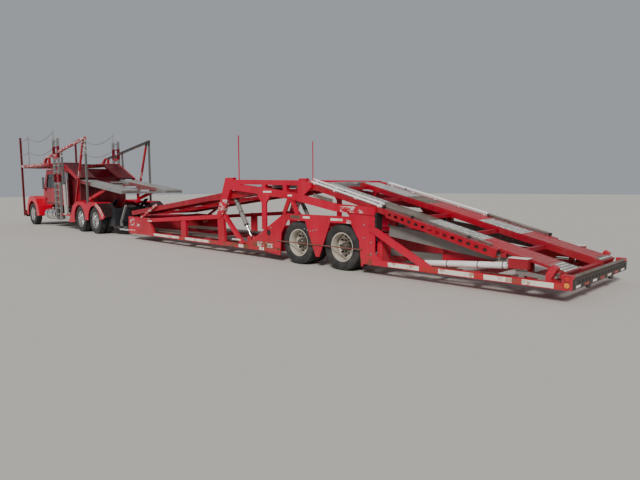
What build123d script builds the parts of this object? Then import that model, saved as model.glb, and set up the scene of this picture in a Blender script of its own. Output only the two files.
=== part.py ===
"""Car transporter: a conventional tractor with a low fifth wheel behind its drive axles, and a
two-axle trailer whose rear deck slopes down to the ground.

Millimetres. X runs forward, Y to the left, Z up from the ground. Lengths along X are counted
from the trailer's front axle, and export moves the whole truck so that X = 0 is mid-length.
"""
import os
from math import atan2, cos, degrees, hypot, radians, sin

from build123d import *

# Overall
HALF_WIDTH = 1280
NOSE_X = 19110
TAIL_X = -5706
RUNNING_GAP = 0.5
SIDE_GAP = 8

# Wheels
TRAILER_TYRE_R = 468
TRACTOR_TYRE_R = 486
TYRE_WIDTH = 244
TWIN_GAP = 55
WHEEL_OUTER_Y = HALF_WIDTH - 51
FRONT_TYRE_WIDTH = 280
RIM_R = 292
RIM_WALL = 16
SPINDLE_R = 42
HUB_R = 92
AXLE_R = 64
TRAILER_AXLE_X = 0
TANDEM_SPACING = 1275
STEER_AXLE_X = 17952
DRIVE_AXLE_X = 12240
DRIVE_SPACING = 1353
KINGPIN_Y = 860

# Trailer side frames
RAIL_Z = 200
RAIL_H = 100
BEAM_IN = HALF_WIDTH - 90
PLATE_IN = HALF_WIDTH - 40
PLATE_OUT = HALF_WIDTH - 18
NOSE_PLATE_X = 8110
ARCH_TOP_Z = 950
REAR_POST_X = -2160
TALL_POST_X = 2400
TALL_POST_TOP_Z = 1900
DECK_BEAM_TOP_Z = 1880
GUARD_BAR_Z = 470
GUARD_BAR_R = 12

# Hitch
HITCH_X = 9250
HITCH_Z = 556
NECK_H = 190
NECK_HALF_WIDTH = 250
FIFTH_WHEEL_R = 440
FIFTH_WHEEL_T = 56
HITCH_PIN_R = 45

# Tow eyes
TOW_EYE_R = 14
TOW_EYE_INSET = 25
TOW_EYE_Y = 500
TOW_EYE_W = 60

# Trailer decks
TRACK_IN = 500
TRACK_OUT = HALF_WIDTH - 180
TRACK_T = 36
FRONT_DECK_PIVOT = (1180, 1640)
FRONT_DECK_NOSE = (8000, 890)
FRONT_DECK_OUT = HALF_WIDTH - 100
REAR_DECK_PIVOT = (-400, 1700)
MID_DECK_Z = 1770
REAR_DECK_END = (-5560, 430)
REAR_DECK_OUT = HALF_WIDTH - 52
DEEP_BEAM_IN = TRACK_OUT - 170
DEEP_BEAM_OUT = TRACK_OUT - 70
REAR_CHANNEL_H = 140
REAR_CHANNEL_END_X = -4540
SLOT_L = 70
SLOT_H = 50
SLOT_PITCH = 150
PIN_R = 22

# Lamps
LAMP_R = 44
LAMP_X = TAIL_X + 78
LAMP_Z = (273, 369)
LAMP_PROUD = 7

# Cylinders
BARREL_R = 55
ROD_R = 28
EYE_R = 50
EYE_HALF = 22
BARREL_START = 95
FRONT_CYL_Y = HALF_WIDTH - 195
FRONT_CYL_TOP = (2450, 1420)
FRONT_CYL_FOOT = (1780, 420)
REAR_CYL_Y = HALF_WIDTH - 160
REAR_CYL_HINGE = (-3100, 325)
REAR_CYL_EYE = (-4860, 460)

# Tractor
FRAME_IN = 370
FRAME_OUT = 450
FRAME_Z = 640
FRAME_H = 240
FRAME_FRONT_X = 18660
CAB_HALF = HALF_WIDTH - 260
CAB_FRONT_X = 16850
CAB_REAR_X = 13850
CAB_FLOOR_Z = 950
CAB_ROOF_Z = 2450
CAB_WALL = 40
DOOR_FRONT_X = 16600
DOOR_REAR_X = 15400
DOOR_TOP_Z = 2330
DOOR_GAP = 8
DOOR_PIN_Y = CAB_HALF + 18
DOOR_PIN_R = 8
DOOR_HINGE_Z = (1180, 1600)
HOOD_HALF = 560
HOOD_TOP_Z = 2000
HOOD_FRONT_X = 18820
HOOD_WALL = 25
FENDER_IN = 620
FENDER_OUT = HALF_WIDTH - 45
HOOD_HINGE = (18780, 600)
HOOD_PIN_R = 16
BUMPER_Z = 330
BUMPER_H = 300
POST_IN = HALF_WIDTH - 80
HEAD_DECK_TOP_Z = 2680
HEAD_DECK_PIVOT = (18920, 2610)
HEAD_DECK_KNEE_X = 14000
HEAD_DECK_END = (12560, 2060)
HEAD_DECK_OUT = POST_IN - 20
TRACTOR_DECK_PIVOT = (12400, 1930)
TRACTOR_DECK_END = (8800, 1570)
TRACTOR_DECK_OUT = HALF_WIDTH - 130
DRIVE_FENDER_TOP_Z = 1140
SIDE_BEAM_Z = 2610
SIDE_BEAM_H = 110
GUARD_TOP = (11400, 3480)
GUARD_KNEE = (15300, 2940)
LADDER_X = (14150, 14760)
LADDER_TOP_Z = 3650
LADDER_POST_W = 110
RUNGS = 12
RUNG_H = 44
RUNG_FOOT_Z = 600
STANCHION_TOP_Z = 3990
STACK_R = 62
STACK_SHIELD_R = 82


def block(x0, x1, y0, y1, z0, z1):
    """A box between two opposite corners."""
    centre = Pos((x0 + x1) / 2, (y0 + y1) / 2, (z0 + z1) / 2)
    return centre * Box(abs(x1 - x0), abs(y1 - y0), abs(z1 - z0))


def plate(points, y0, y1):
    """A flat piece with a side-view outline of X, Z points, from one Y to another."""
    outline = Polyline(*[(x, y0, z) for x, z in points], close=True)
    return extrude(make_face(outline), amount=y1 - y0, dir=(0, 1, 0))


def bar(start, end, depth, y0, y1):
    """A straight member between two side-view points, with its depth across the line."""
    length = hypot(end[0] - start[0], end[1] - start[1])
    across_x = -(end[1] - start[1]) / length * depth / 2
    across_z = (end[0] - start[0]) / length * depth / 2
    corners = [
        (start[0] + across_x, start[1] + across_z),
        (end[0] + across_x, end[1] + across_z),
        (end[0] - across_x, end[1] - across_z),
        (start[0] - across_x, start[1] - across_z),
    ]
    return plate(corners, y0, y1)


def tube(start, end, radius):
    """A round bar between two points in space."""
    line = Vector(*end) - Vector(*start)
    place = Plane(origin=start, z_dir=line)
    return place * Cylinder(radius, line.length, align=(Align.CENTER, Align.CENTER, Align.MIN))


def disc(x, z, y0, y1, radius):
    """A round bar across the truck."""
    return tube((x, y0, z), (x, y1, z), radius)


def both(shape):
    """The shape and its mirror image on the other side of the truck."""
    return shape + mirror(shape, about=Plane.XZ)


def along(start, end, x):
    """Height at x of the line between two side-view points."""
    return start[1] + (end[1] - start[1]) * (x - start[0]) / (end[0] - start[0])


def ring(profile, x, z):
    """A solid of revolution about the wheel axis; the profile is radius, Y points."""
    outline = Polyline(*[(x + r, y, z) for r, y in profile], close=True)
    axle_line = Axis((x, 0, z), (0, 1, 0))
    return revolve(make_face(outline), axis=axle_line, revolution_arc=360)


def tyre(x, z, outer_y, width, radius):
    """One tyre with square shoulders, between outer_y and outer_y - width."""
    shoulder = 40
    inner_y = outer_y - width
    profile = [
        (RIM_R, inner_y + shoulder),
        (radius - 2 * shoulder, inner_y),
        (radius, inner_y + shoulder),
        (radius, outer_y - shoulder),
        (radius - 2 * shoulder, outer_y),
        (RIM_R, outer_y - shoulder),
    ]
    return ring(profile, x, z)


def rim(x, z, outer_y, width, disc_y, disc_out):
    """One rim: a barrel that carries the tyre and a dished disc with a hub.

    disc_y is where the disc meets the barrel, and disc_out how far the hub lies beside it.
    """
    lip = RIM_R
    inner_y = outer_y - width
    edge = 30
    barrel = ring([
        (lip - RIM_WALL, inner_y + edge),
        (lip, inner_y + edge),
        (lip, outer_y - edge),
        (lip - RIM_WALL, outer_y - edge),
    ], x, z)
    dish = ring([
        (lip - RIM_WALL / 2, disc_y),
        (lip - RIM_WALL / 2, disc_y + RIM_WALL),
        (HUB_R + 60, disc_y + disc_out + RIM_WALL),
        (SPINDLE_R + RUNNING_GAP, disc_y + disc_out + RIM_WALL),
        (SPINDLE_R + RUNNING_GAP, disc_y + disc_out),
        (HUB_R + 60, disc_y + disc_out),
    ], x, z)
    return barrel + dish


def hub(x, z, inner_y, outer_y):
    """A hub round the spindle, closed by its cap at the outer end."""
    cap = 30
    return ring([
        (SPINDLE_R + RUNNING_GAP, inner_y),
        (HUB_R, inner_y),
        (HUB_R, outer_y - cap),
        (HUB_R - cap, outer_y),
        (0, outer_y),
        (0, outer_y - cap),
        (SPINDLE_R + RUNNING_GAP, outer_y - cap),
    ], x, z)


TWIN_INNER_Y = WHEEL_OUTER_Y - 2 * TYRE_WIDTH - TWIN_GAP
HUB_INNER_Y = WHEEL_OUTER_Y - TYRE_WIDTH - TWIN_GAP - 40
HUB_OUTER_Y = WHEEL_OUTER_Y - 30
SPINDLE_END_Y = HUB_OUTER_Y - 30 - SIDE_GAP


def twin_tyres(x, z, radius):
    """The two tyres of a left twin wheel."""
    outer = tyre(x, z, WHEEL_OUTER_Y, TYRE_WIDTH, radius)
    inner = tyre(x, z, WHEEL_OUTER_Y - TYRE_WIDTH - TWIN_GAP, TYRE_WIDTH, radius)
    return outer + inner


def twin_rims(x, z):
    """Two rims bolted back to back, with their common hub."""
    middle = WHEEL_OUTER_Y - TYRE_WIDTH - TWIN_GAP / 2
    outer = rim(x, z, WHEEL_OUTER_Y, TYRE_WIDTH, middle + 60, -60)
    inner_edge = WHEEL_OUTER_Y - TYRE_WIDTH - TWIN_GAP
    inner = rim(x, z, inner_edge, TYRE_WIDTH, middle - 60 - RIM_WALL, 60)
    return outer + inner + hub(x, z, HUB_INNER_Y, HUB_OUTER_Y)


def front_tyre(x, z):
    return tyre(x, z, WHEEL_OUTER_Y, FRONT_TYRE_WIDTH, TRACTOR_TYRE_R)


def front_rim(x, z):
    disc_y = WHEEL_OUTER_Y - 60
    shell = rim(x, z, WHEEL_OUTER_Y, FRONT_TYRE_WIDTH, disc_y, -50)
    return shell + hub(x, z, KINGPIN_Y + 120, WHEEL_OUTER_Y - 20)


# Trailer


def lower_rail(x0, x1):
    return block(x0, x1, HALF_WIDTH - RAIL_H, HALF_WIDTH, RAIL_Z, RAIL_Z + RAIL_H)


def side_frame():
    """Left side frame: rails, posts, the tall raked post, top chord, arch plate and braces."""
    rear_axle = TRAILER_AXLE_X - TANDEM_SPACING
    mid = TRAILER_AXLE_X - TANDEM_SPACING / 2
    tall_foot = TALL_POST_X + 460
    nose = plate([
        (NOSE_PLATE_X - 50, 740),
        (NOSE_PLATE_X - 1360, 730),
        (NOSE_PLATE_X - 1780, RAIL_Z),
        (NOSE_PLATE_X, RAIL_Z + 60),
    ], BEAM_IN, PLATE_OUT)
    chord = [(TALL_POST_X, 1690), (1370, 1600), (120, 1475), (-1160, 1260), (REAR_POST_X, 1210)]
    gusset = plate([
        (1920, RAIL_Z + 30),
        (400, 1090),
        (rear_axle - 260, 1090),
        (chord[3][0] - 200, chord[3][1]),
        (REAR_POST_X - 20, 1290),
        (REAR_POST_X, 420),
        (REAR_POST_X - 300, RAIL_Z),
        (rear_axle - 600, RAIL_Z),
        (rear_axle - 600, 150),
        (570, 150),
    ], PLATE_IN, PLATE_OUT)
    # The hanger between the wheels narrows to a point, so each arch leans in towards it.
    front_arch = plate([
        (560, 100), (500, 640), (290, ARCH_TOP_Z),
        (-270, ARCH_TOP_Z), (mid + 50, 220), (mid + 50, 100),
    ], PLATE_IN - 5, PLATE_OUT + 5)
    hanger_point = plate([(mid + 50, 100), (mid - 50, 100), (mid - 50, 220), (mid + 50, 220)],
                         PLATE_IN - 5, PLATE_OUT + 5)
    rear_arch = plate([
        (mid - 50, 100), (mid - 50, 220), (rear_axle + 270, ARCH_TOP_Z),
        (rear_axle - 290, ARCH_TOP_Z), (rear_axle - 500, 640), (rear_axle - 560, 100),
    ], PLATE_IN - 5, PLATE_OUT + 5)
    arches = gusset - front_arch - rear_arch - hanger_point
    eye = disc(940, 630, PLATE_IN - 5, PLATE_OUT + 5, 72)
    frame = arches - eye
    members = [
        nose,
        lower_rail(NOSE_PLATE_X - 100, 600),
        lower_rail(rear_axle - 600, TAIL_X + 60),
        bar((NOSE_PLATE_X - 1500, 675), (2820, 930), 110, BEAM_IN, HALF_WIDTH),
        plate([(4550, RAIL_Z), (4800, RAIL_Z), (4800, 860), (4550, 860)], BEAM_IN, PLATE_OUT),
        plate([(2680, RAIL_Z), (2950, RAIL_Z), (3000, 980), (2730, 980)], BEAM_IN, PLATE_OUT),
        plate([
            (TALL_POST_X - 170, TALL_POST_TOP_Z),
            (TALL_POST_X + 170, TALL_POST_TOP_Z),
            (tall_foot + 140, 940),
            (tall_foot - 130, 940),
        ], BEAM_IN, HALF_WIDTH),
        bar((2700, 960), (1950, RAIL_Z + 80), 110, BEAM_IN, PLATE_OUT),
        plate([(1000, 700), (1160, 700), (1160, 1640), (1000, 1640)], PLATE_IN, HALF_WIDTH),
        bar((190, 1480), (400, 1080), 110, PLATE_IN, HALF_WIDTH - 10),
        bar((190, 1480), (-40, 1080), 110, PLATE_IN, HALF_WIDTH - 10),
        bar((-2060, 900), (-3380, RAIL_Z + 50), 130, PLATE_IN, HALF_WIDTH),
        tube((2050, HALF_WIDTH - 40, DECK_BEAM_TOP_Z - 90), (2050, HALF_WIDTH - 40, 2900), 14),
        bar((7220, 720), (6240, 1150), 70, PLATE_IN - 40, PLATE_OUT - 7),
        tube((620, PLATE_OUT + GUARD_BAR_R, GUARD_BAR_Z),
             (-1860, PLATE_OUT + GUARD_BAR_R, GUARD_BAR_Z), GUARD_BAR_R),
        bar(chord[0], chord[1], 160, BEAM_IN, HALF_WIDTH),
        bar(chord[1], chord[2], 160, BEAM_IN, HALF_WIDTH),
        bar(chord[2], chord[3], 160, PLATE_IN, HALF_WIDTH),
        bar(chord[3], chord[4], 150, PLATE_IN, HALF_WIDTH),
        plate([(1160, 1540), (1360, 1560), (1160, 1300)], PLATE_IN, HALF_WIDTH),
        plate([(1000, 1540), (800, 1520), (1000, 1300)], PLATE_IN, HALF_WIDTH),
    ]
    # The mid deck's outer beam and its feet on the chord.
    members.append(bar((2520, DECK_BEAM_TOP_Z - 80), (-300, DECK_BEAM_TOP_Z - 130), 110,
                       BEAM_IN, HALF_WIDTH))
    for foot_x in (1080, 350):
        members.append(block(foot_x - 60, foot_x + 60, BEAM_IN, HALF_WIDTH, 1520, 1750))
    # The lug that carries the rear deck's pin.
    px, pz = REAR_DECK_PIVOT
    members.append(plate([(px - 70, pz - 60), (px + 200, 1460), (px + 330, 1480),
                          (px + 330, pz + 100), (px - 70, pz + 60)], PLATE_IN, HALF_WIDTH))
    for member in members:
        frame = frame + member
    frame = frame + disc(px, pz, PLATE_IN, PLATE_IN - 70, PIN_R)
    # The front deck's pin.
    fx, fz = FRONT_DECK_PIVOT
    frame = frame + disc(fx, fz, BEAM_IN, BEAM_IN - 60, PIN_R)
    return frame


def cross_member(x, z0, z1, reach, depth=100):
    return block(x - depth / 2, x + depth / 2, -reach, reach, z0, z1)


FLOOR_REACH = HALF_WIDTH - RAIL_H
FLOOR_TRACK_OUT = TRACK_OUT - 100


def trailer_floor():
    """Cross-members, spine beams, low floor tracks and the neck with its kingpin."""
    rear_axle = TRAILER_AXLE_X - TANDEM_SPACING
    rail_top = RAIL_Z + RAIL_H
    floor = both(block(700, NOSE_PLATE_X - 260, 560, 640, RAIL_Z, rail_top))
    for x in (6900, 5900, 4900, 3800, 2900, 1900):
        floor = floor + cross_member(x, RAIL_Z, rail_top, FLOOR_REACH)
    # A box beam at the nose carries the neck.
    nose_x = NOSE_PLATE_X - 260
    floor = floor + cross_member(nose_x - 100, RAIL_Z, HITCH_Z + NECK_H - 10, FLOOR_REACH, 200)
    neck = Pos(0, 0, HITCH_Z) * extrude(make_face(Polyline(
        (nose_x, 620, 0), (HITCH_X - 350, NECK_HALF_WIDTH, 0), (HITCH_X, NECK_HALF_WIDTH, 0),
        (HITCH_X, -NECK_HALF_WIDTH, 0), (HITCH_X - 350, -NECK_HALF_WIDTH, 0),
        (nose_x, -620, 0), close=True)), amount=NECK_H, dir=(0, 0, 1))
    neck = neck + tube((HITCH_X, 0, HITCH_Z), (HITCH_X, 0, HITCH_Z + NECK_H), NECK_HALF_WIDTH)
    pin_foot = HITCH_Z - FIFTH_WHEEL_T + 6
    neck = neck + tube((HITCH_X, 0, pin_foot), (HITCH_X, 0, HITCH_Z + 20), HITCH_PIN_R)
    floor = floor + neck
    # Spine beams pass over the axles.
    spine_front = 900
    spine_rear = rear_axle - 1000
    floor = floor + both(block(spine_rear, spine_front, 480, 600, 640, 780))
    floor = floor + block(spine_front - 200, spine_front, -FLOOR_REACH, FLOOR_REACH, RAIL_Z, 780)
    floor = floor + block(spine_rear, spine_rear + 120, -FLOOR_REACH, FLOOR_REACH, RAIL_Z, 780)
    for x in (-4200, -4940, -5400):
        floor = floor + cross_member(x, RAIL_Z, rail_top, FLOOR_REACH, 80)
    # The member under the rear barrels is lower than the rest.
    floor = floor + cross_member(-3400, RAIL_Z, REAR_CYL_HINGE[1] - BARREL_R + 10, FLOOR_REACH, 80)
    return floor + rear_rails() + cylinder_lugs()


def floor_tracks():
    """The two low tracks between the side frames."""
    top = RAIL_Z + RAIL_H
    return both(block(950, NOSE_PLATE_X - 500, 480, FLOOR_TRACK_OUT, top, top + TRACK_T))


def rear_rails():
    """Inner side beams beside the cylinders, from the rear posts to the tail cross-member."""
    spine_rear = TRAILER_AXLE_X - TANDEM_SPACING - 1000
    beam = bar((spine_rear + 10, 420), (-4950, 450), 100, 820, 900)
    foot = block(-4980, -4900, 820, 900, RAIL_Z + RAIL_H - 10, 480)
    return both(beam + foot)


def axle(x, z, half, spindle_end, hub_inner):
    """A straight axle tube with a spindle at each end."""
    beam = disc(x, z, -half, half, AXLE_R)
    spindles = disc(x, z, -spindle_end, spindle_end, SPINDLE_R)
    return beam + spindles


def trailer_axles():
    """Both axles with their hanger brackets and leaf springs."""
    out = None
    for x in (TRAILER_AXLE_X, TRAILER_AXLE_X - TANDEM_SPACING):
        beam = axle(x, TRAILER_TYRE_R, HUB_INNER_Y - SIDE_GAP, SPINDLE_END_Y, HUB_INNER_Y)
        seat = both(block(x - 90, x + 90, 500, 580, TRAILER_TYRE_R, 590))
        spring = both(block(x - 500, x + 500, 500, 580, 560, 600))
        hangers = both(block(x - 500, x - 440, 500, 580, 560, 640)
                       + block(x + 440, x + 500, 500, 580, 560, 640))
        group = beam + seat + spring + hangers
        out = group if out is None else out + group
    return out


def rear_bumper():
    """The tail beam with its silver top rail and a lamp box at each end."""
    beam = block(TAIL_X, TAIL_X + 60, -HALF_WIDTH, HALF_WIDTH, RAIL_Z + 10, RAIL_Z + 170)
    rail = disc(TAIL_X + 30, RAIL_Z + 190, -HALF_WIDTH + 20, HALF_WIDTH - 20, 24)
    boxes = both(block(TAIL_X + 4, TAIL_X + 150, HALF_WIDTH - 94, HALF_WIDTH,
                       RAIL_Z + RAIL_H, RAIL_Z + 218))
    tow = block(TAIL_X, TAIL_X + 60, TOW_EYE_Y, TOW_EYE_Y + TOW_EYE_W, RAIL_Z - 50, RAIL_Z + 10)
    bore = disc(TAIL_X + TOW_EYE_INSET, RAIL_Z - 15, TOW_EYE_Y - 5, TOW_EYE_Y + TOW_EYE_W + 5,
                TOW_EYE_R)
    return beam + rail + boxes + both(tow - bore)


def tail_lamps():
    """A stop lamp over a turn lamp on the side of each lamp box."""
    lamps = None
    for z in LAMP_Z:
        lamp = disc(LAMP_X, z, HALF_WIDTH, HALF_WIDTH + LAMP_PROUD, LAMP_R)
        lamps = lamp if lamps is None else lamps + lamp
    return both(lamps)


def tail_brackets():
    """The leaning stops and the long plates between the rear cylinders and the tail."""
    y0 = HALF_WIDTH - 180
    y1 = HALF_WIDTH - 50
    rail_top = RAIL_Z + RAIL_H
    stop = bar((-5430, 512), (-5300, 270), 96, y0, y1)
    stop = stop - block(-5600, -5100, y0 - 5, y1 + 5, RAIL_Z, rail_top)
    spread = block(-5400, -5200, y0, y1, rail_top, rail_top + 25)
    side = bar((-4850, 378), (-5300, 335), 66, HALF_WIDTH - 96, HALF_WIDTH - 76)
    foot = block(-4980, -4900, HALF_WIDTH - 106, HALF_WIDTH - 76, rail_top, 350)
    return both(stop + spread + side + foot)


# Decks


def deck_tracks(start, end, stations):
    """Two tread plates with inner rails, and cross-members at the stations along X."""
    drop = TRACK_T / 2
    top = [(start[0], start[1] - drop), (end[0], end[1] - drop)]
    tread = bar(top[0], top[1], TRACK_T, TRACK_IN, TRACK_OUT)
    low = [(start[0], start[1] - 60), (end[0], end[1] - 60)]
    rail = bar(low[0], low[1], 90, TRACK_IN - 50, TRACK_IN + 20)
    deck = both(tread + rail)
    for x in stations:
        z = along(start, end, x) - 75
        deck = deck + block(x - 45, x + 45, -TRACK_OUT, TRACK_OUT, z - 40, z + 30)
    return deck


def front_deck():
    """Trailer front deck with deep tapered side beams."""
    px, pz = FRONT_DECK_PIVOT
    nx, nz = FRONT_DECK_NOSE
    start = (px - 60, pz + 60)
    end = (nx, nz)
    inner = TRACK_OUT - 40
    beam = plate([
        (px - 90, pz + 60),
        (px - 90, pz - 70),
        (px + 900, pz - 220),
        (px + 2300, pz - 330),
        (nx - 60, nz - 110),
        (nx, nz - 90),
        (nx, nz + 20),
        (TALL_POST_X, along(start, end, TALL_POST_X) + 30),
    ], inner, FRONT_DECK_OUT)
    bore = disc(px, pz, inner - 10, BEAM_IN, PIN_R + RUNNING_GAP)
    recess_x, recess_z = FRONT_CYL_TOP
    # The barrel's head sits in a notch under the beam, between two cheeks.
    notch = block(recess_x - 260, recess_x + 200, FRONT_CYL_Y - 70, FRONT_CYL_Y + 70,
                  recess_z - 400, recess_z + 75)
    stations = (px + 250, 2300, 3600, 4900, 6200, 7500, nx - 60)
    deck = both(beam - bore) + deck_tracks(start, end, stations)
    deck = deck - both(notch)
    pin = disc(recess_x, recess_z, FRONT_CYL_Y - 80, FRONT_CYL_Y + 80, PIN_R)
    cheek_top = along(start, end, recess_x) - TRACK_T / 2
    cheek = block(recess_x - 60, recess_x + 60, FRONT_CYL_Y - 95, FRONT_CYL_Y - 70,
                  recess_z - 50, cheek_top)
    return deck + both(pin + cheek)


def slotted_channel(start, end, y0, y1, depth):
    """A deck edge channel with a row of slots through its web."""
    length = hypot(end[0] - start[0], end[1] - start[1])
    count = int(length // SLOT_PITCH)
    ux = (end[0] - start[0]) / length
    uz = (end[1] - start[1]) / length
    channel = bar(start, end, depth, y0, y1)
    web = 14
    channel = channel - bar(start, end, depth - 2 * web, y0 - 1, y1 - web)
    slots = None
    for i in range(count):
        s = (i + 0.5) * SLOT_PITCH
        a = (start[0] + ux * (s - SLOT_L / 2), start[1] + uz * (s - SLOT_L / 2))
        b = (start[0] + ux * (s + SLOT_L / 2), start[1] + uz * (s + SLOT_L / 2))
        slot = bar(a, b, SLOT_H, y1 - 2 * web, y1 + 1)
        slots = slot if slots is None else slots + slot
    return channel - slots


def rear_deck():
    """The long loading deck, hinged at the top and down at the tail."""
    px, pz = REAR_DECK_PIVOT
    start = (px + 60, pz + 70)
    end = REAR_DECK_END
    stations = (px - 150, -1500, -2700, -3700, -4600, end[0] + 60)
    deck = deck_tracks(start, end, stations)
    drop = REAR_CHANNEL_H / 2
    knee_x = REAR_POST_X - 230
    knee = (knee_x, along(start, end, knee_x))
    upper = bar((start[0], start[1] - 65), (knee[0] - 60, knee[1] - 65), 100,
                TRACK_OUT - 20, REAR_DECK_OUT)
    upper = upper - disc(px, pz, TRACK_OUT - 30, REAR_DECK_OUT + 5, PIN_R + RUNNING_GAP)
    head = plate([(px + 60, pz + 60), (px + 60, pz - 50), (px - 200, pz - 120),
                  (px - 200, pz)], TRACK_OUT - 20, REAR_DECK_OUT)
    head = head - disc(px, pz, TRACK_OUT - 30, REAR_DECK_OUT + 5, PIN_R + RUNNING_GAP)
    foot_x = REAR_CHANNEL_END_X
    lower = slotted_channel((knee[0], knee[1] - drop),
                            (foot_x, along(start, end, foot_x) - drop),
                            TRACK_OUT - 20, REAR_DECK_OUT, REAR_CHANNEL_H)
    deep = bar((-2330, 850), (-4700, 550), 205, DEEP_BEAM_IN, DEEP_BEAM_OUT)
    hanger = bar((-2400, knee[1] - 60), (-2400, 900), 120, DEEP_BEAM_IN, DEEP_BEAM_OUT)
    # Red box bracket at the tail carries the rod's pin.
    ex, ez = REAR_CYL_EYE
    top_z = along(start, end, ex) - 30
    bracket = block(ex - 190, ex + 110, REAR_CYL_Y + EYE_HALF + SIDE_GAP, REAR_DECK_OUT + 20,
                    ez - 30, top_z)
    cheek = block(ex - 60, ex + 60, REAR_CYL_Y - EYE_HALF - SIDE_GAP - 40,
                  REAR_CYL_Y - EYE_HALF - SIDE_GAP, ez - 60, top_z)
    cap = block(ex - 100, ex + 100, TRACK_OUT - 60, REAR_DECK_OUT, ez + EYE_R + 14, top_z)
    return deck + both(upper + head + lower + deep + hanger + bracket + cheek + cap)


def mid_deck():
    """Fixed tracks over the axles, between the front and rear decks."""
    z = MID_DECK_Z
    tread = block(FRONT_DECK_PIVOT[0] - 280, REAR_DECK_PIVOT[0] + 180, TRACK_IN, TRACK_OUT,
                  z - TRACK_T, z)
    deck = both(tread)
    for x in (FRONT_DECK_PIVOT[0] - 340, REAR_DECK_PIVOT[0] + 230):
        deck = deck + block(x - 40, x + 40, -BEAM_IN, BEAM_IN, z - 130, z - TRACK_T)
    return deck


# Cylinders


def unit(a, b):
    length = hypot(b[0] - a[0], b[1] - a[1])
    return ((b[0] - a[0]) / length, (b[1] - a[1]) / length, length)


def barrels(hinge, eye, y, share):
    """A pair of barrels from the hinge towards the rod's eye, hollow for the rod."""
    ux, uz, length = unit(hinge, eye)
    barrel_l = length * share
    start = (hinge[0] + ux * BARREL_START, y, hinge[1] + uz * BARREL_START)
    end = (hinge[0] + ux * barrel_l, y, hinge[1] + uz * barrel_l)
    body = tube(start, end, BARREL_R)
    neck_end = (start[0] + ux * 10, start[2] + uz * 10)
    body = body + bar(hinge, neck_end, EYE_R, y - EYE_HALF, y + EYE_HALF)
    bore_start = (hinge[0] + ux * (BARREL_START + 40), y, hinge[1] + uz * (BARREL_START + 40))
    bore_end = (hinge[0] + ux * (barrel_l + 5), y, hinge[1] + uz * (barrel_l + 5))
    lug = disc(hinge[0], hinge[1], y - EYE_HALF, y + EYE_HALF, EYE_R)
    lug = lug - disc(hinge[0], hinge[1], y - 60, y + 60, PIN_R + RUNNING_GAP)
    clear = disc(hinge[0], hinge[1], y - 80, y + 80, PIN_R + RUNNING_GAP)
    return both(body + lug - tube(bore_start, bore_end, ROD_R + RUNNING_GAP) - clear)


def rods(hinge, eye, y, share):
    """A pair of rods, whose eyes lie over their pins."""
    ux, uz, length = unit(hinge, eye)
    inside = length * (share - 0.33)
    start = (hinge[0] + ux * inside, y, hinge[1] + uz * inside)
    end = (eye[0] - ux * 20, y, eye[1] - uz * 20)
    return both(tube(start, end, ROD_R) + disc(eye[0], eye[1], y - EYE_HALF, y + EYE_HALF, EYE_R))


BARREL_SHARE_FRONT = 0.66
BARREL_SHARE_REAR = 0.90


def front_barrels():
    return barrels(FRONT_CYL_TOP, FRONT_CYL_FOOT, FRONT_CYL_Y, BARREL_SHARE_FRONT)


def front_rods():
    return rods(FRONT_CYL_TOP, FRONT_CYL_FOOT, FRONT_CYL_Y, BARREL_SHARE_FRONT)


def rear_barrels():
    return barrels(REAR_CYL_HINGE, REAR_CYL_EYE, REAR_CYL_Y, BARREL_SHARE_REAR)


def rear_rods():
    return rods(REAR_CYL_HINGE, REAR_CYL_EYE, REAR_CYL_Y, BARREL_SHARE_REAR)


def cylinder_lugs():
    """The lugs on the trailer that hold the cylinders."""
    fx, fz = FRONT_CYL_FOOT
    gap = EYE_HALF + SIDE_GAP
    top = fz + 70
    foot = block(fx - 70, fx + 70, FRONT_CYL_Y + gap, FLOOR_REACH, RAIL_Z, top)
    foot = foot + block(fx - 70, fx + 70, FRONT_CYL_Y - gap - 40, FRONT_CYL_Y - gap, RAIL_Z, top)
    foot = foot + block(fx - 70, fx + 170, FRONT_CYL_Y - gap - 40, FLOOR_REACH, RAIL_Z,
                        fz - EYE_R - 20)
    hx, hz = REAR_CYL_HINGE
    ear = block(hx - 60, hx + 60, REAR_CYL_Y + gap, FLOOR_REACH, RAIL_Z + 20, hz + 50)
    ear = ear + block(hx - 60, hx + 60, REAR_CYL_Y - gap - 40, REAR_CYL_Y - gap, RAIL_Z + 20,
                      hz + 50)
    ear = ear + block(hx - 60, hx + 60, REAR_CYL_Y - gap - 40, FLOOR_REACH, RAIL_Z + 20,
                      hz - EYE_R - 20)
    ear = ear + disc(hx, hz, REAR_CYL_Y - gap - 10, REAR_CYL_Y + gap + 10, PIN_R)
    return both(foot + ear)


# Tractor


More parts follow.
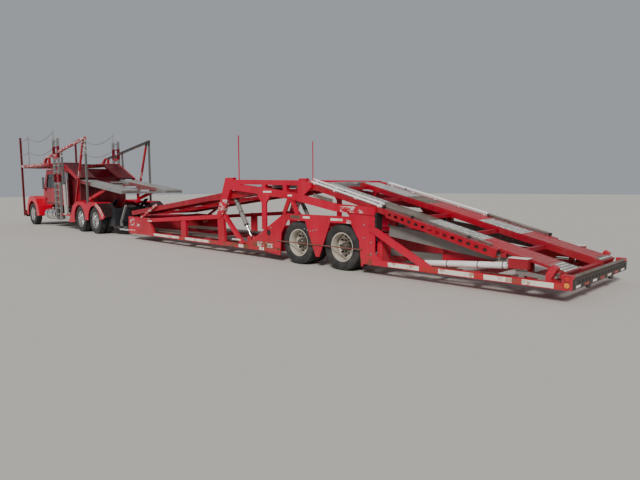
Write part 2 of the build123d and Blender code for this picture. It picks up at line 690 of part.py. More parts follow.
def tractor_frame():
    """Two rails with cross-members, dropping to the low hitch behind the drive axles."""
    rear_axle = DRIVE_AXLE_X - DRIVE_SPACING
    drop_x = rear_axle - 560
    rails = both(block(drop_x, FRAME_FRONT_X, FRAME_IN, FRAME_OUT, FRAME_Z, FRAME_Z + FRAME_H))
    frame = rails
    for x in (FRAME_FRONT_X - 150, 16400, 15000, 13600, 11560, drop_x + 100):
        frame = frame + block(x - 60, x + 60, -FRAME_IN, FRAME_IN, FRAME_Z + 40,
                              FRAME_Z + FRAME_H - 40)
    deck_z = HITCH_Z - FIFTH_WHEEL_T
    drop = both(block(drop_x, drop_x + 160, FRAME_IN - 60, FRAME_OUT, 260, FRAME_Z + 20))
    drop = drop + both(block(HITCH_X, drop_x + 160, FRAME_IN - 60, FRAME_OUT, 260, deck_z))
    drop = drop + block(HITCH_X - 60, drop_x + 160, -FRAME_IN, FRAME_IN, deck_z - 60, deck_z)
    drop = drop + tube((HITCH_X, 0, deck_z - 120), (HITCH_X, 0, deck_z), FRAME_OUT)
    hole = tube((HITCH_X, 0, deck_z - 200), (HITCH_X, 0, deck_z + 5), HITCH_PIN_R + 60)
    frame = frame + (drop - hole)
    # Outriggers carry the drive fenders, the ladders and the front posts.
    for x in (13300, 11563, 10330):
        frame = frame + block(x - 40, x + 40, -PLATE_IN, PLATE_IN, FRAME_Z + FRAME_H - 90,
                              FRAME_Z + FRAME_H)
    frame = frame + block(LADDER_X[0] - 60, LADDER_X[1] + 60, -POST_IN, POST_IN, 420, 520)
    frame = frame + both(block(LADDER_X[0] + 200, LADDER_X[0] + 320, FRAME_IN, FRAME_OUT,
                               500, FRAME_Z + 10))
    return frame


def fifth_wheel():
    """The round hitch plate with its pin bore."""
    z0 = HITCH_Z - FIFTH_WHEEL_T
    plate_disc = tube((HITCH_X, 0, z0), (HITCH_X, 0, HITCH_Z - RUNNING_GAP), FIFTH_WHEEL_R)
    bore = tube((HITCH_X, 0, z0 - 5), (HITCH_X, 0, HITCH_Z + 5), HITCH_PIN_R + RUNNING_GAP)
    return plate_disc - bore


def drive_axles():
    """Two drive axles with their round casings, and their spring packs."""
    out = None
    for x in (DRIVE_AXLE_X, DRIVE_AXLE_X - DRIVE_SPACING):
        beam = axle(x, TRACTOR_TYRE_R, HUB_INNER_Y - SIDE_GAP, SPINDLE_END_Y, HUB_INNER_Y)
        casing = disc(x, TRACTOR_TYRE_R, -150, 150, 190)
        seat = both(block(x - 120, x + 120, FRAME_IN, FRAME_OUT, TRACTOR_TYRE_R, FRAME_Z))
        group = beam + casing + seat
        out = group if out is None else out + group
    return out


def steer_axle():
    """The steer axle beam with its kingpins."""
    x = STEER_AXLE_X
    z = TRACTOR_TYRE_R
    beam = block(x - 45, x + 45, -KINGPIN_Y - 34, KINGPIN_Y + 34, z - 50, z + 50)
    pins = both(tube((x, KINGPIN_Y, z - 120), (x, KINGPIN_Y, z + 120), 26))
    seats = both(block(x - 150, x + 150, FRAME_IN, FRAME_OUT, z, FRAME_Z))
    return beam + pins + seats


def knuckle():
    """Left steering knuckle: a fork round the beam's end, with the spindle."""
    x = STEER_AXLE_X
    z = TRACTOR_TYRE_R
    fork = block(x - 60, x + 60, KINGPIN_Y - 50, KINGPIN_Y + 110, z - 120, z + 120)
    fork = fork - block(x - 200, x + 200, KINGPIN_Y - 100, KINGPIN_Y + 60, z - 62, z + 62)
    fork = fork - tube((x, KINGPIN_Y, z - 130), (x, KINGPIN_Y, z + 130), 26 + RUNNING_GAP)
    return fork + disc(x, z, KINGPIN_Y + 60, WHEEL_OUTER_Y - 20 - 30 - SIDE_GAP, SPINDLE_R)


def engine():
    """The engine as a plain block on two cross feet between the rails."""
    low = FRAME_Z + FRAME_H - 60
    feet = None
    for x in (17100, 18000):
        foot = block(x, x + 120, -FRAME_IN, FRAME_IN, low - 60, low + 20)
        feet = foot if feet is None else feet + foot
    return block(16950, 18250, -300, 300, low, 1480) + feet


def front_fender(y0, y1):
    """An open fender band round the steer wheel, swept down at front and rear."""
    x = STEER_AXLE_X
    z = TRACTOR_TYRE_R
    outer = plate([
        (x + 760, 560), (x + 700, 880), (x + 480, 1180), (x + 200, 1300), (x - 200, 1310),
        (x - 560, 1180), (x - 800, 850), (x - 960, 460), (x - 860, 430),
        (x + 700, 430),
    ], y0, y1)
    inner = plate([
        (x + 660, 400), (x + 640, 820), (x + 440, 1130), (x + 180, 1250), (x - 180, 1260),
        (x - 520, 1130), (x - 740, 800), (x - 860, 400),
    ], y0 - 5, y1 - 25)
    open_side = disc(x, z, y0, y1 + 5, 590)
    return outer - inner - open_side - plate([(x + 560, 300), (x + 560, z), (x - 600, z),
                                              (x - 600, 300)], y0, y1 + 5)


def hood():
    """Tilting hood: a crowned shell with a grille opening, and both front fenders."""
    rear_x = CAB_FRONT_X + DOOR_GAP + 30
    sections = [
        (rear_x, HOOD_HALF + 40, HOOD_TOP_Z, 1000),
        (rear_x + 900, HOOD_HALF, HOOD_TOP_Z - 60, 1000),
        (HOOD_FRONT_X - 200, HOOD_HALF - 60, HOOD_TOP_Z - 260, 760),
        (HOOD_FRONT_X, HOOD_HALF - 110, HOOD_TOP_Z - 420, 760),
    ]

    def outline(x, half, top, bottom, inset):
        crown = 150
        return make_face(Polyline(
            (x, -half + inset, bottom),
            (x, -half + inset, top - crown - inset),
            (x, -half + crown, top - inset),
            (x, half - crown, top - inset),
            (x, half - inset, top - crown - inset),
            (x, half - inset, bottom), close=True))

    shell = None
    for a, b in zip(sections, sections[1:]):
        outer = loft([outline(*a, 0), outline(*b, 0)], ruled=True)
        low_a = (a[0], a[1], a[2], a[3] - 40)
        low_b = (b[0], b[1], b[2], b[3] - 40)
        inner = loft([outline(*low_a, HOOD_WALL), outline(*low_b, HOOD_WALL)], ruled=True)
        piece = outer - inner
        shell = piece if shell is None else shell + piece
    front = outline(*sections[3], 0)
    face = extrude(front, amount=30, dir=(-1, 0, 0))
    opening = block(HOOD_FRONT_X - 60, HOOD_FRONT_X + 10, -330, 330, 820, 1480)
    face = face - opening
    for i in range(7):
        y = -270 + 90 * i
        face = face + block(HOOD_FRONT_X - 26, HOOD_FRONT_X - 6, y - 12, y + 12, 815, 1485)
    shell = shell + face
    fenders = both(front_fender(FENDER_IN, FENDER_OUT) - headlamp(0.3))
    aprons = both(plate([
        (STEER_AXLE_X + 480, 1190), (STEER_AXLE_X + 200, 1310), (STEER_AXLE_X - 200, 1320),
        (STEER_AXLE_X - 560, 1190), (STEER_AXLE_X - 560, 1140), (STEER_AXLE_X - 200, 1270),
        (STEER_AXLE_X + 200, 1260), (STEER_AXLE_X + 480, 1140),
    ], HOOD_HALF - 70, FENDER_IN + 5))
    lug = bar(HOOD_HINGE, (HOOD_FRONT_X - 16, 790), 2 * HOOD_PIN_R + 24, 290, 330)
    lug = lug - disc(HOOD_HINGE[0], HOOD_HINGE[1], 285, 335, HOOD_PIN_R + RUNNING_GAP)
    return shell + fenders + aprons + both(lug)


def headlamps():
    """Two lamp housings on the fenders, facing forward."""
    return both(headlamp(0))


def headlamp(gap):
    """Left headlamp, or with a gap the hole that it sits in."""
    x = STEER_AXLE_X + 540
    return disc_x(x, x + 150, 900, 1010, 110 + gap)


def disc_x(x0, x1, y, z, radius):
    return tube((x0, y, z), (x1, y, z), radius)


def front_bumper():
    """The bumper with its brackets and tow eyes, and the tie between the front posts."""
    x1 = NOSE_X - 40
    bumper = block(x1 - 90, x1, -POST_IN, POST_IN, BUMPER_Z, BUMPER_Z + BUMPER_H)
    bumper = bumper - block(x1 - 100, x1 - 30, -POST_IN + 30, POST_IN - 30, BUMPER_Z + 25,
                            BUMPER_Z + BUMPER_H - 25)
    brackets = both(block(FRAME_FRONT_X - 200, x1 - 20, FRAME_IN + 10, FRAME_OUT - 10,
                          BUMPER_Z + 40, FRAME_Z))
    eyes = both(block(x1 - 30, NOSE_X, FRAME_IN, FRAME_OUT, BUMPER_Z + 40, BUMPER_Z + 140))
    bores = both(disc(NOSE_X - TOW_EYE_INSET, BUMPER_Z + 90, FRAME_IN - 5, FRAME_OUT + 5,
                      TOW_EYE_R))
    tie = block(NOSE_X - 60, NOSE_X, -POST_IN, POST_IN, SIDE_BEAM_Z, SIDE_BEAM_Z + 60)
    hood_pin = tube((HOOD_HINGE[0], -FRAME_IN - 15, HOOD_HINGE[1]),
                    (HOOD_HINGE[0], FRAME_IN + 15, HOOD_HINGE[1]), HOOD_PIN_R)
    return bumper + brackets + (eyes - bores) + tie + hood_pin


def cab_outline(inset, low):
    """Side view of the cab: raked windscreen, level roof, straight back."""
    return [
        (CAB_REAR_X + inset, CAB_FLOOR_Z + low),
        (CAB_FRONT_X - inset, CAB_FLOOR_Z + low),
        (CAB_FRONT_X - inset, 1720),
        (CAB_FRONT_X - 420 - inset / 2, CAB_ROOF_Z - inset),
        (CAB_REAR_X + inset, CAB_ROOF_Z - inset),
    ]


def cab():
    """Hollow cab and short sleeper with door openings and cut windows."""
    outer = plate(cab_outline(0, 0), -CAB_HALF, CAB_HALF)
    inner = plate(cab_outline(CAB_WALL, CAB_WALL), -CAB_HALF + CAB_WALL, CAB_HALF - CAB_WALL)
    shell = outer - inner
    doorway = block(DOOR_REAR_X, DOOR_FRONT_X, CAB_HALF - 80, CAB_HALF + 20,
                    CAB_FLOOR_Z + 30, DOOR_TOP_Z)
    rake = plate([(DOOR_FRONT_X + 10, DOOR_TOP_Z + 10), (DOOR_FRONT_X + 10, 1760),
                  (CAB_FRONT_X - 500, DOOR_TOP_Z + 10)], CAB_HALF - 90, CAB_HALF + 30)
    shell = shell - both(doorway - rake)
    screen = plate([
        (CAB_FRONT_X + 40, 1780), (CAB_FRONT_X - 120, 1780),
        (CAB_FRONT_X - 480, CAB_ROOF_Z - 120), (CAB_FRONT_X - 250, CAB_ROOF_Z - 120),
    ], -CAB_HALF + 110, CAB_HALF - 110)
    shell = shell - screen
    sleeper_window = block(14350, 14800, CAB_HALF - 60, CAB_HALF + 10, 1750, 2150)
    shell = shell - both(sleeper_window)
    mounts = both(block(14200, 16400, FRAME_IN, FRAME_OUT, FRAME_Z + FRAME_H, CAB_FLOOR_Z))
    return shell + mounts + both(door_pins())


def door_pins():
    """The two hinge pins of the left door with their end lugs on the cab."""
    pins = None
    for z in DOOR_HINGE_Z:
        pin = tube((DOOR_FRONT_X, DOOR_PIN_Y, z - 58), (DOOR_FRONT_X, DOOR_PIN_Y, z + 58),
                   DOOR_PIN_R)
        for low in (z - 60, z + 34):
            pin = pin + tube((DOOR_FRONT_X, DOOR_PIN_Y, low), (DOOR_FRONT_X, DOOR_PIN_Y, low + 26),
                             14)
            pin = pin + block(DOOR_FRONT_X, DOOR_FRONT_X + 50, CAB_HALF - 5, DOOR_PIN_Y + 8,
                              low, low + 26)
        pins = pin if pins is None else pins + pin
    return pins


def cab_glass():
    """Windscreen and sleeper windows, each seated in its opening."""
    gap = 0.3
    screen = plate([
        (CAB_FRONT_X - 42, 1782), (CAB_FRONT_X - 50, 1782),
        (CAB_FRONT_X - 362, CAB_ROOF_Z - 122), (CAB_FRONT_X - 354, CAB_ROOF_Z - 122),
    ], -CAB_HALF + 110 + gap, CAB_HALF - 110 - gap)
    side = both(block(14350 + gap, 14800 - gap, CAB_HALF - 26, CAB_HALF - 18, 1750 + gap,
                      2150 - gap))
    return screen + side


def cab_interior():
    """Two seats, the dashboard, the steering wheel and the bunk."""
    floor = CAB_FLOOR_Z + CAB_WALL
    seat = block(15350, 15900, 250, 770, floor, floor + 480)
    back = bar((15420, floor + 440), (15230, floor + 1080), 130, 270, 750)
    dash = block(CAB_FRONT_X - 420, CAB_FRONT_X - CAB_WALL, -CAB_HALF + 60, CAB_HALF - 60,
                 floor + 380, floor + 700)
    dash = dash + block(CAB_FRONT_X - 160, CAB_FRONT_X - CAB_WALL, -CAB_HALF + 90,
                        CAB_HALF - 90, floor, floor + 400)
    wheel_plane = Plane(origin=(16290, 510, floor + 760), z_dir=(-0.8, 0, 0.6))
    wheel = wheel_plane * Torus(215, 17)
    column = tube((16290, 510, floor + 760), (16520, 510, floor + 600), 30)
    spoke = wheel_plane * Box(30, 420, 16)
    bunk = block(CAB_REAR_X + CAB_WALL, CAB_REAR_X + 700, -CAB_HALF + 60, CAB_HALF - 60, floor,
                 floor + 420)
    return both(seat + back) + (dash + column + wheel + spoke) + bunk


def door_profile(inset):
    return [
        (DOOR_REAR_X + DOOR_GAP + inset, CAB_FLOOR_Z + 30 + DOOR_GAP + inset),
        (DOOR_FRONT_X - DOOR_GAP - inset, CAB_FLOOR_Z + 30 + DOOR_GAP + inset),
        (DOOR_FRONT_X - DOOR_GAP - inset, 1740 - inset),
        (CAB_FRONT_X - 510 - inset, DOOR_TOP_Z - DOOR_GAP - inset),
        (DOOR_REAR_X + DOOR_GAP + inset, DOOR_TOP_Z - DOOR_GAP - inset),
    ]


def door_window(shrink):
    return plate([
        (DOOR_REAR_X + 90 + shrink, 1680 + shrink),
        (DOOR_FRONT_X - 110 - shrink, 1680 + shrink),
        (DOOR_FRONT_X - 150 - shrink, 1790),
        (CAB_FRONT_X - 560 - shrink, DOOR_TOP_Z - 90 - shrink),
        (DOOR_REAR_X + 90 + shrink, DOOR_TOP_Z - 90 - shrink),
    ], CAB_HALF - 100, CAB_HALF + 100)


DOOR_INNER_Y = CAB_HALF - CAB_WALL + DOOR_GAP


def door():
    """Left door with its window cut, a grab handle and the mirror on its two arms."""
    panel = plate(door_profile(0), DOOR_INNER_Y, CAB_HALF) - door_window(0)
    for z in DOOR_HINGE_Z:
        barrel = tube((DOOR_FRONT_X, DOOR_PIN_Y, z - 28), (DOOR_FRONT_X, DOOR_PIN_Y, z + 28), 16)
        leaf = block(DOOR_FRONT_X - 80, DOOR_FRONT_X - 2, CAB_HALF, CAB_HALF + 12, z - 28, z + 28)
        bore = tube((DOOR_FRONT_X, DOOR_PIN_Y, z - 30), (DOOR_FRONT_X, DOOR_PIN_Y, z + 30),
                    DOOR_PIN_R + RUNNING_GAP)
        panel = panel + ((barrel + leaf) - bore)
    handle = block(DOOR_REAR_X + 80, DOOR_REAR_X + 230, CAB_HALF, CAB_HALF + 22, 1500, 1530)
    arms = None
    for z in (1640, 2090):
        base_x = DOOR_FRONT_X - 60 if z < 2000 else DOOR_FRONT_X - 208
        arm = tube((base_x, CAB_HALF - 10, z), (DOOR_FRONT_X - 120, CAB_HALF + 130, z), 9)
        arms = arm if arms is None else arms + arm
    mirror_box = block(DOOR_FRONT_X - 150, DOOR_FRONT_X - 90, CAB_HALF + 110, CAB_HALF + 175,
                       1620, 2120)
    return panel + handle + arms + mirror_box


def door_glass():
    pane = door_window(0.3)
    return pane & block(15000, 17000, DOOR_INNER_Y + 12, DOOR_INNER_Y + 18, 1500, 2400)


def fuel_tanks():
    """A round-cornered tank under each door, with its straps' brackets and step."""
    x0 = 15250
    x1 = 16500
    tank = disc_x(x0, x1, 900, 560, 255)
    strap = None
    for x in (x0 + 200, x1 - 200):
        arm = block(x - 35, x + 35, FRAME_OUT, 700, FRAME_Z + 20, FRAME_Z + 120)
        strap = arm if strap is None else strap + arm
    return both(tank + strap)


def left_drive_fender():
    """Side plate with two round arches, and its top skin."""
    rear_axle = DRIVE_AXLE_X - DRIVE_SPACING
    side = plate([
        (13400, 330), (13150, 620), (12900, 960), (12600, DRIVE_FENDER_TOP_Z),
        (11850, DRIVE_FENDER_TOP_Z), (11560, 1060), (11280, DRIVE_FENDER_TOP_Z),
        (10700, DRIVE_FENDER_TOP_Z), (10300, 950), (9960, 640), (10080, 560),
        (11400, 420), (11700, 420), (13000, 330),
    ], PLATE_IN, PLATE_OUT)
    for x in (DRIVE_AXLE_X, rear_axle):
        side = side - disc(x, TRACTOR_TYRE_R, PLATE_IN - 5, PLATE_OUT + 5, 530)
    side = side - block(rear_axle - 400, DRIVE_AXLE_X + 400, PLATE_IN - 5, PLATE_OUT + 5, 300, 470)
    skin_in = TWIN_INNER_Y + 20
    t = 25
    skin = plate([
        (13150, 620), (12900, 960), (12600, DRIVE_FENDER_TOP_Z), (11850, DRIVE_FENDER_TOP_Z),
        (11560, 1060), (11280, DRIVE_FENDER_TOP_Z), (10700, DRIVE_FENDER_TOP_Z), (10300, 950),
        (9960, 640), (9990, 620), (10320, 950 - t), (10710, DRIVE_FENDER_TOP_Z - t),
        (11270, DRIVE_FENDER_TOP_Z - t), (11560, 1060 - t), (11860, DRIVE_FENDER_TOP_Z - t),
        (12590, DRIVE_FENDER_TOP_Z - t), (12880, 960 - t), (13125, 610),
    ], skin_in, PLATE_OUT)
    return side + skin


def drive_fenders():
    return both(left_drive_fender())


def guard_frames():
    """Side guard rails over the cab, A-frames at the rear and the front posts."""
    foot_z = DRIVE_FENDER_TOP_Z - 60
    gx, gz = GUARD_TOP
    kx, kz = GUARD_KNEE
    beam = block(kx - 40, NOSE_X - 60, POST_IN, HALF_WIDTH, SIDE_BEAM_Z,
                 SIDE_BEAM_Z + SIDE_BEAM_H)
    knee = plate([
        (kx + 700, SIDE_BEAM_Z + SIDE_BEAM_H - 10), (kx + 330, kz + 30), (kx + 200, kz + 60),
        (kx - 60, kz + 60), (kx - 60, SIDE_BEAM_Z), (kx + 700, SIDE_BEAM_Z),
    ], POST_IN, HALF_WIDTH)
    cut = plate([
        (kx + 480, SIDE_BEAM_Z + SIDE_BEAM_H), (kx + 270, kz - 10), (kx + 60, kz - 10),
        (kx + 60, SIDE_BEAM_Z + SIDE_BEAM_H),
    ], POST_IN - 5, HALF_WIDTH + 5)
    rail = bar((kx, kz + 20), (gx - 40, gz), 90, POST_IN, HALF_WIDTH)
    rear_post = bar((gx + 20, foot_z), (gx, gz), 75, POST_IN + 10, HALF_WIDTH - 10)
    diagonal = bar((gx + 1180, foot_z), (gx + 200, gz - 60), 80, POST_IN + 10, HALF_WIDTH - 10)
    front_post = block(NOSE_X - 70, NOSE_X, POST_IN, HALF_WIDTH, BUMPER_Z + 40, STANCHION_TOP_Z)
    mid_post = bar((13850, 3150), (13700, 620), 70, POST_IN + 10, HALF_WIDTH - 10)
    step = block(13130, LADDER_X[0], PLATE_IN, PLATE_OUT, 560, 640)
    side = beam + (knee - cut) + rail + rear_post + diagonal + front_post + mid_post + step
    hx, hz = HEAD_DECK_PIVOT
    side = side + disc(hx, hz + 40, POST_IN, POST_IN - 60, PIN_R)
    x0, x1 = LADDER_X
    side = side - block(x0, x1, POST_IN - 5, HALF_WIDTH + 5, 300, LADDER_TOP_Z + 10)
    side = side + block(x0 + LADDER_POST_W, x1 - LADDER_POST_W, POST_IN + 5, HALF_WIDTH - 5,
                        rung_z(9) + RUNG_H / 2, rung_z(10) - RUNG_H / 2)
    return both(side - left_drive_fender())


def rung_z(i):
    """Height of a ladder's rung, counted from the lowest."""
    return RUNG_FOOT_Z + i * (LADDER_TOP_Z - RUNG_FOOT_Z - 100) / RUNGS


def ladders():
    """Galvanised ladder posts beside the cab, with square openings between rungs."""
    x0, x1 = LADDER_X
    w = LADDER_POST_W
    side = block(x0, x0 + w, POST_IN, HALF_WIDTH, 380, LADDER_TOP_Z)
    side = side + block(x1 - w, x1, POST_IN, HALF_WIDTH, 440, LADDER_TOP_Z - 20)
    for i in range(RUNGS + 1):
        z = rung_z(i)
        side = side + block(x0, x1, POST_IN + 15, HALF_WIDTH - 15, z - RUNG_H / 2,
                            z + RUNG_H / 2)
    for i in range(RUNGS):
        z = (rung_z(i) + rung_z(i + 1)) / 2
        for x in (x0, x1 - w):
            side = side - block(x + 30, x + w - 30, POST_IN - 5, HALF_WIDTH + 5, z - 70, z + 70)
    y = (POST_IN + HALF_WIDTH) / 2
    # Chain poles stand on the front post of each ladder and on the side beams.
    side = side + tube((x1 - w / 2, y, LADDER_TOP_Z - 30), (x1 - w / 2, y, STANCHION_TOP_Z), 18)
    pole = tube((17950, y, SIDE_BEAM_Z + SIDE_BEAM_H), (17950, y, STANCHION_TOP_Z - 10), 18)
    return both(side + pole)


def rear_cabinet():
    return block(12960, 13790, -900, 900, FRAME_Z + FRAME_H, 2000)


def step_boxes():
    """A step box hung on each rail between the ladder and the drive fender."""
    top = FRAME_Z + 50
    box = block(13420, 14000, 760, POST_IN - 12, 330, top)
    arms = None
    for x in (13460, 13640):
        arm = block(x, x + 60, FRAME_OUT, 770, FRAME_Z + 10, top)
        arms = arm if arms is None else arms + arm
    return both(box + arms)


def exhaust():
    """An upright stack behind the cab on each side, with its heat shield."""
    y = CAB_HALF + STACK_SHIELD_R + SIDE_GAP
    x = CAB_REAR_X - 30
    stack = tube((x, y, 700), (x, y, 2280), STACK_R)
    stack = stack + tube((x, y, 960), (x, y, 1900), STACK_SHIELD_R)
    arm = block(x - 30, x + 30, FRAME_OUT, y, 720, 780)
    return both(stack + arm)


def head_deck():
    """The deck over the cab, level to the knee and sloping down behind it."""
    px, pz = HEAD_DECK_PIVOT
    front = (NOSE_X - 110, HEAD_DECK_TOP_Z)
    knee = (HEAD_DECK_KNEE_X, HEAD_DECK_TOP_Z)
    end = HEAD_DECK_END
    inner = TRACK_OUT - 20
    level = bar((front[0], front[1] - 50), (knee[0], knee[1] - 50), 100, inner, HEAD_DECK_OUT)
    slope = bar((knee[0] + 20, knee[1] - 60), (end[0], end[1] - 60), 100, inner, HEAD_DECK_OUT)
    side = level + slope
    side = side - disc(px, pz + 40, inner - 5, HEAD_DECK_OUT + 5, PIN_R + RUNNING_GAP)
    treads = None
    for a, b in ((front, knee), (knee, end)):
        tread = bar((a[0], a[1] - TRACK_T / 2), (b[0], b[1] - TRACK_T / 2), TRACK_T,
                    TRACK_IN, TRACK_OUT)
        rail = bar((a[0], a[1] - 50), (b[0], b[1] - 50), 80, TRACK_IN - 50, TRACK_IN + 20)
        treads = tread + rail if treads is None else treads + tread + rail
    deck = both(side + treads)
    for x in (front[0] - 60, 17600, 16200, 14900, HEAD_DECK_KNEE_X - 40, end[0] + 120):
        z = front[1] if x > knee[0] else along(knee, end, x)
        deck = deck + block(x - 40, x + 40, -TRACK_OUT, TRACK_OUT, z - 100, z - 30)
    return deck


def tractor_deck():
    """The deck over the drive axles, hinged behind the cabinet."""
    px, pz = TRACTOR_DECK_PIVOT
    start = (px + 60, pz + 40)
    end = TRACTOR_DECK_END
    deck = deck_tracks(start, end, (px - 100, 11200, 10000, end[0] + 80))
    beam = bar((start[0], start[1] - 60), (end[0], end[1] - 60), 110, TRACK_OUT - 20,
               TRACTOR_DECK_OUT)
    beam = beam - disc(px, pz, TRACK_OUT - 30, TRACTOR_DECK_OUT + 5, PIN_R + RUNNING_GAP)
    return deck + both(beam)


def deck_supports():
    """Posts behind the cabinet that carry the deck's pins, and the raked red arms under it."""
    px, pz = TRACTOR_DECK_PIVOT
    top = (FRAME_Z + FRAME_H)
    y0 = TRACTOR_DECK_OUT + 4
    post = block(px - 50, px + 50, y0, y0 + 36, DRIVE_FENDER_TOP_Z, pz + 50)
    post = post + disc(px, pz, y0 + 5, TRACK_OUT + 4, PIN_R)
    foot = block(px - 50, px + 50, 640, y0 + 36, DRIVE_FENDER_TOP_Z, DRIVE_FENDER_TOP_Z + 40)
    start = (px + 60, pz + 40)
    rest_x = 10350
    rest_z = along(start, TRACTOR_DECK_END, rest_x) - 150
    arm = bar((12000, top + 320), (rest_x, rest_z), 110, 960, 1040)
    leg = block(11980 - 60, 11980 + 60, 960, 1040, DRIVE_FENDER_TOP_Z, top + 330)
    return both(post + foot + arm + leg)


def stinger_boxes():
    """Black boxes and struts either side of the hitch frame."""
    box = block(9700, 10240, FRAME_OUT, 1000, 300, 590) + block(9700, 9930, FRAME_OUT, 1000, 580, 940)
    strut = bar((9250, 1050), (9760, 320), 70, 760, 820)
    rail = block(8500, 9720, 740, 800, 180, 230)
    foot = block(9640, 9760, 740, 820, 180, 420)
    panel = bar((11000, 900), (10420, 1240), 30, 500, 640)
    seat = block(10900, 11050, FRAME_IN, 640, FRAME_Z + FRAME_H, FRAME_Z + FRAME_H + 40)
    return both(box + strut + rail + foot) + both(panel + seat)


def build_nodes():
    """Every node by name, in the truck's own X."""
    nodes = {}
    left_frame = side_frame()
    nodes["side_frame_left"] = left_frame
    nodes["side_frame_right"] = mirror(left_frame, about=Plane.XZ)
    nodes["trailer_floor"] = trailer_floor()
    nodes["floor_tracks"] = floor_tracks()
    nodes["trailer_axles"] = trailer_axles()
    nodes["rear_bumper"] = rear_bumper() + tail_brackets()
    nodes["tail_lamps"] = tail_lamps()
    nodes["mid_deck"] = mid_deck()
    nodes["front_deck"] = front_deck()
    nodes["rear_deck"] = rear_deck()
    nodes["front_lift_barrels"] = front_barrels()
    nodes["front_lift_rods"] = front_rods()
    nodes["rear_lift_barrels"] = rear_barrels()
    nodes["rear_lift_rods"] = rear_rods()
    nodes["tractor_frame"] = tractor_frame()
    nodes["fifth_wheel"] = fifth_wheel()
    nodes["tractor_axles"] = drive_axles() + steer_axle()
    nodes["engine"] = engine()
    nodes["hood"] = hood()
    nodes["headlamps"] = headlamps()
    nodes["front_bumper"] = front_bumper()
    nodes["cab"] = cab()
    nodes["cab_glass"] = cab_glass()
    nodes["cab_interior"] = cab_interior()
    nodes["fuel_tanks"] = fuel_tanks() + step_boxes()
    nodes["drive_fenders"] = drive_fenders()
    nodes["guard_frames"] = guard_frames()
    nodes["ladders"] = ladders()
    nodes["rear_cabinet"] = rear_cabinet()
    nodes["exhaust"] = exhaust()
    nodes["deck_supports"] = deck_supports()
    nodes["stinger_boxes"] = stinger_boxes()
    nodes["head_deck"] = head_deck()
    nodes["tractor_deck"] = tractor_deck()
    rear_drive = DRIVE_AXLE_X - DRIVE_SPACING
    rear_trailer = TRAILER_AXLE_X - TANDEM_SPACING
    twins = [
        ("drive_front", DRIVE_AXLE_X, TRACTOR_TYRE_R),
        ("drive_rear", rear_drive, TRACTOR_TYRE_R),
        ("trailer_front", TRAILER_AXLE_X, TRAILER_TYRE_R),
        ("trailer_rear", rear_trailer, TRAILER_TYRE_R),
    ]
    left = {
        "door": door(),
        "door_glass": door_glass(),
        "knuckle": knuckle(),
        "steer_tyre": front_tyre(STEER_AXLE_X, TRACTOR_TYRE_R),
        "steer_rim": front_rim(STEER_AXLE_X, TRACTOR_TYRE_R),
    }
    for name, x, radius in twins:
        left[name + "_tyres"] = twin_tyres(x, radius, radius)
        left[name + "_rims"] = twin_rims(x, radius)
    for name, shape in left.items():
        nodes[name + "_left"] = shape
        nodes[name + "_right"] = mirror(shape, about=Plane.XZ)
    return nodes


MID_X = (NOSE_X + TAIL_X) / 2


def main():
    os.makedirs("parts", exist_ok=True)
    for name, shape in build_nodes().items():
        moved = Pos(-MID_X, 0, 0) * shape
        export_step(moved, "parts/" + name + ".step")


if __name__ == "__main__":
    main()
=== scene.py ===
"""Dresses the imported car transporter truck: finishes, wheels, treads, trim, stage and camera."""

from math import cos, pi, radians, sin

import bmesh
import bpy
from mathutils import Matrix, Vector


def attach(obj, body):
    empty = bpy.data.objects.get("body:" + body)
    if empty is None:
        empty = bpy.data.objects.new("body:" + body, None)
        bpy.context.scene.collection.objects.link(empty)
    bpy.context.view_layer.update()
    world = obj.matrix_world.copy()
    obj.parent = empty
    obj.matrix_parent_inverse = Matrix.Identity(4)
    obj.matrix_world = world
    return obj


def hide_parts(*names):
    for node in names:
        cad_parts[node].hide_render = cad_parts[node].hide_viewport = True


bl_info = {
    "name": "Car Transporter Dressing",
    "version": (1, 0, 0),
    "blender": (4, 5, 0),
    "location": "View3D > Sidebar > Transporter",
    "description": "Builds the finishes and trim of a car transporter truck on its packed frame",
    "category": "Object",
}

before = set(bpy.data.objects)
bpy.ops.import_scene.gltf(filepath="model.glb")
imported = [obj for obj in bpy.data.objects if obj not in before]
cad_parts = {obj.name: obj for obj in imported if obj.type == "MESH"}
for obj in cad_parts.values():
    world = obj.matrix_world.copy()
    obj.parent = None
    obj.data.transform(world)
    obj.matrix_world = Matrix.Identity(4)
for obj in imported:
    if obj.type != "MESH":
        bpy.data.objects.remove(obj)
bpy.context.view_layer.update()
# Lengths along the truck are counted from the trailer's front axle; the frame's origin lies here.
MID_X = 6.702
SIDES = (("left", 1), ("right", -1))


# Sizes that several pieces share, in metres


TRAILER_TYRE_R = 0.468
TRACTOR_TYRE_R = 0.486
TYRE_WIDTH = 0.244
FRONT_TYRE_WIDTH = 0.280
TWIN_GAP = 0.055
WHEEL_OUTER_Y = 1.229
KINGPIN_SIDE = 0.990
HALF_WIDTH = 1.280
# The outer face of the side frames' plates.
PLATE_Y = 1.260
TRACK_IN = 0.500
TRACK_OUT = 1.100
TAIL_X = -5.706


# Materials


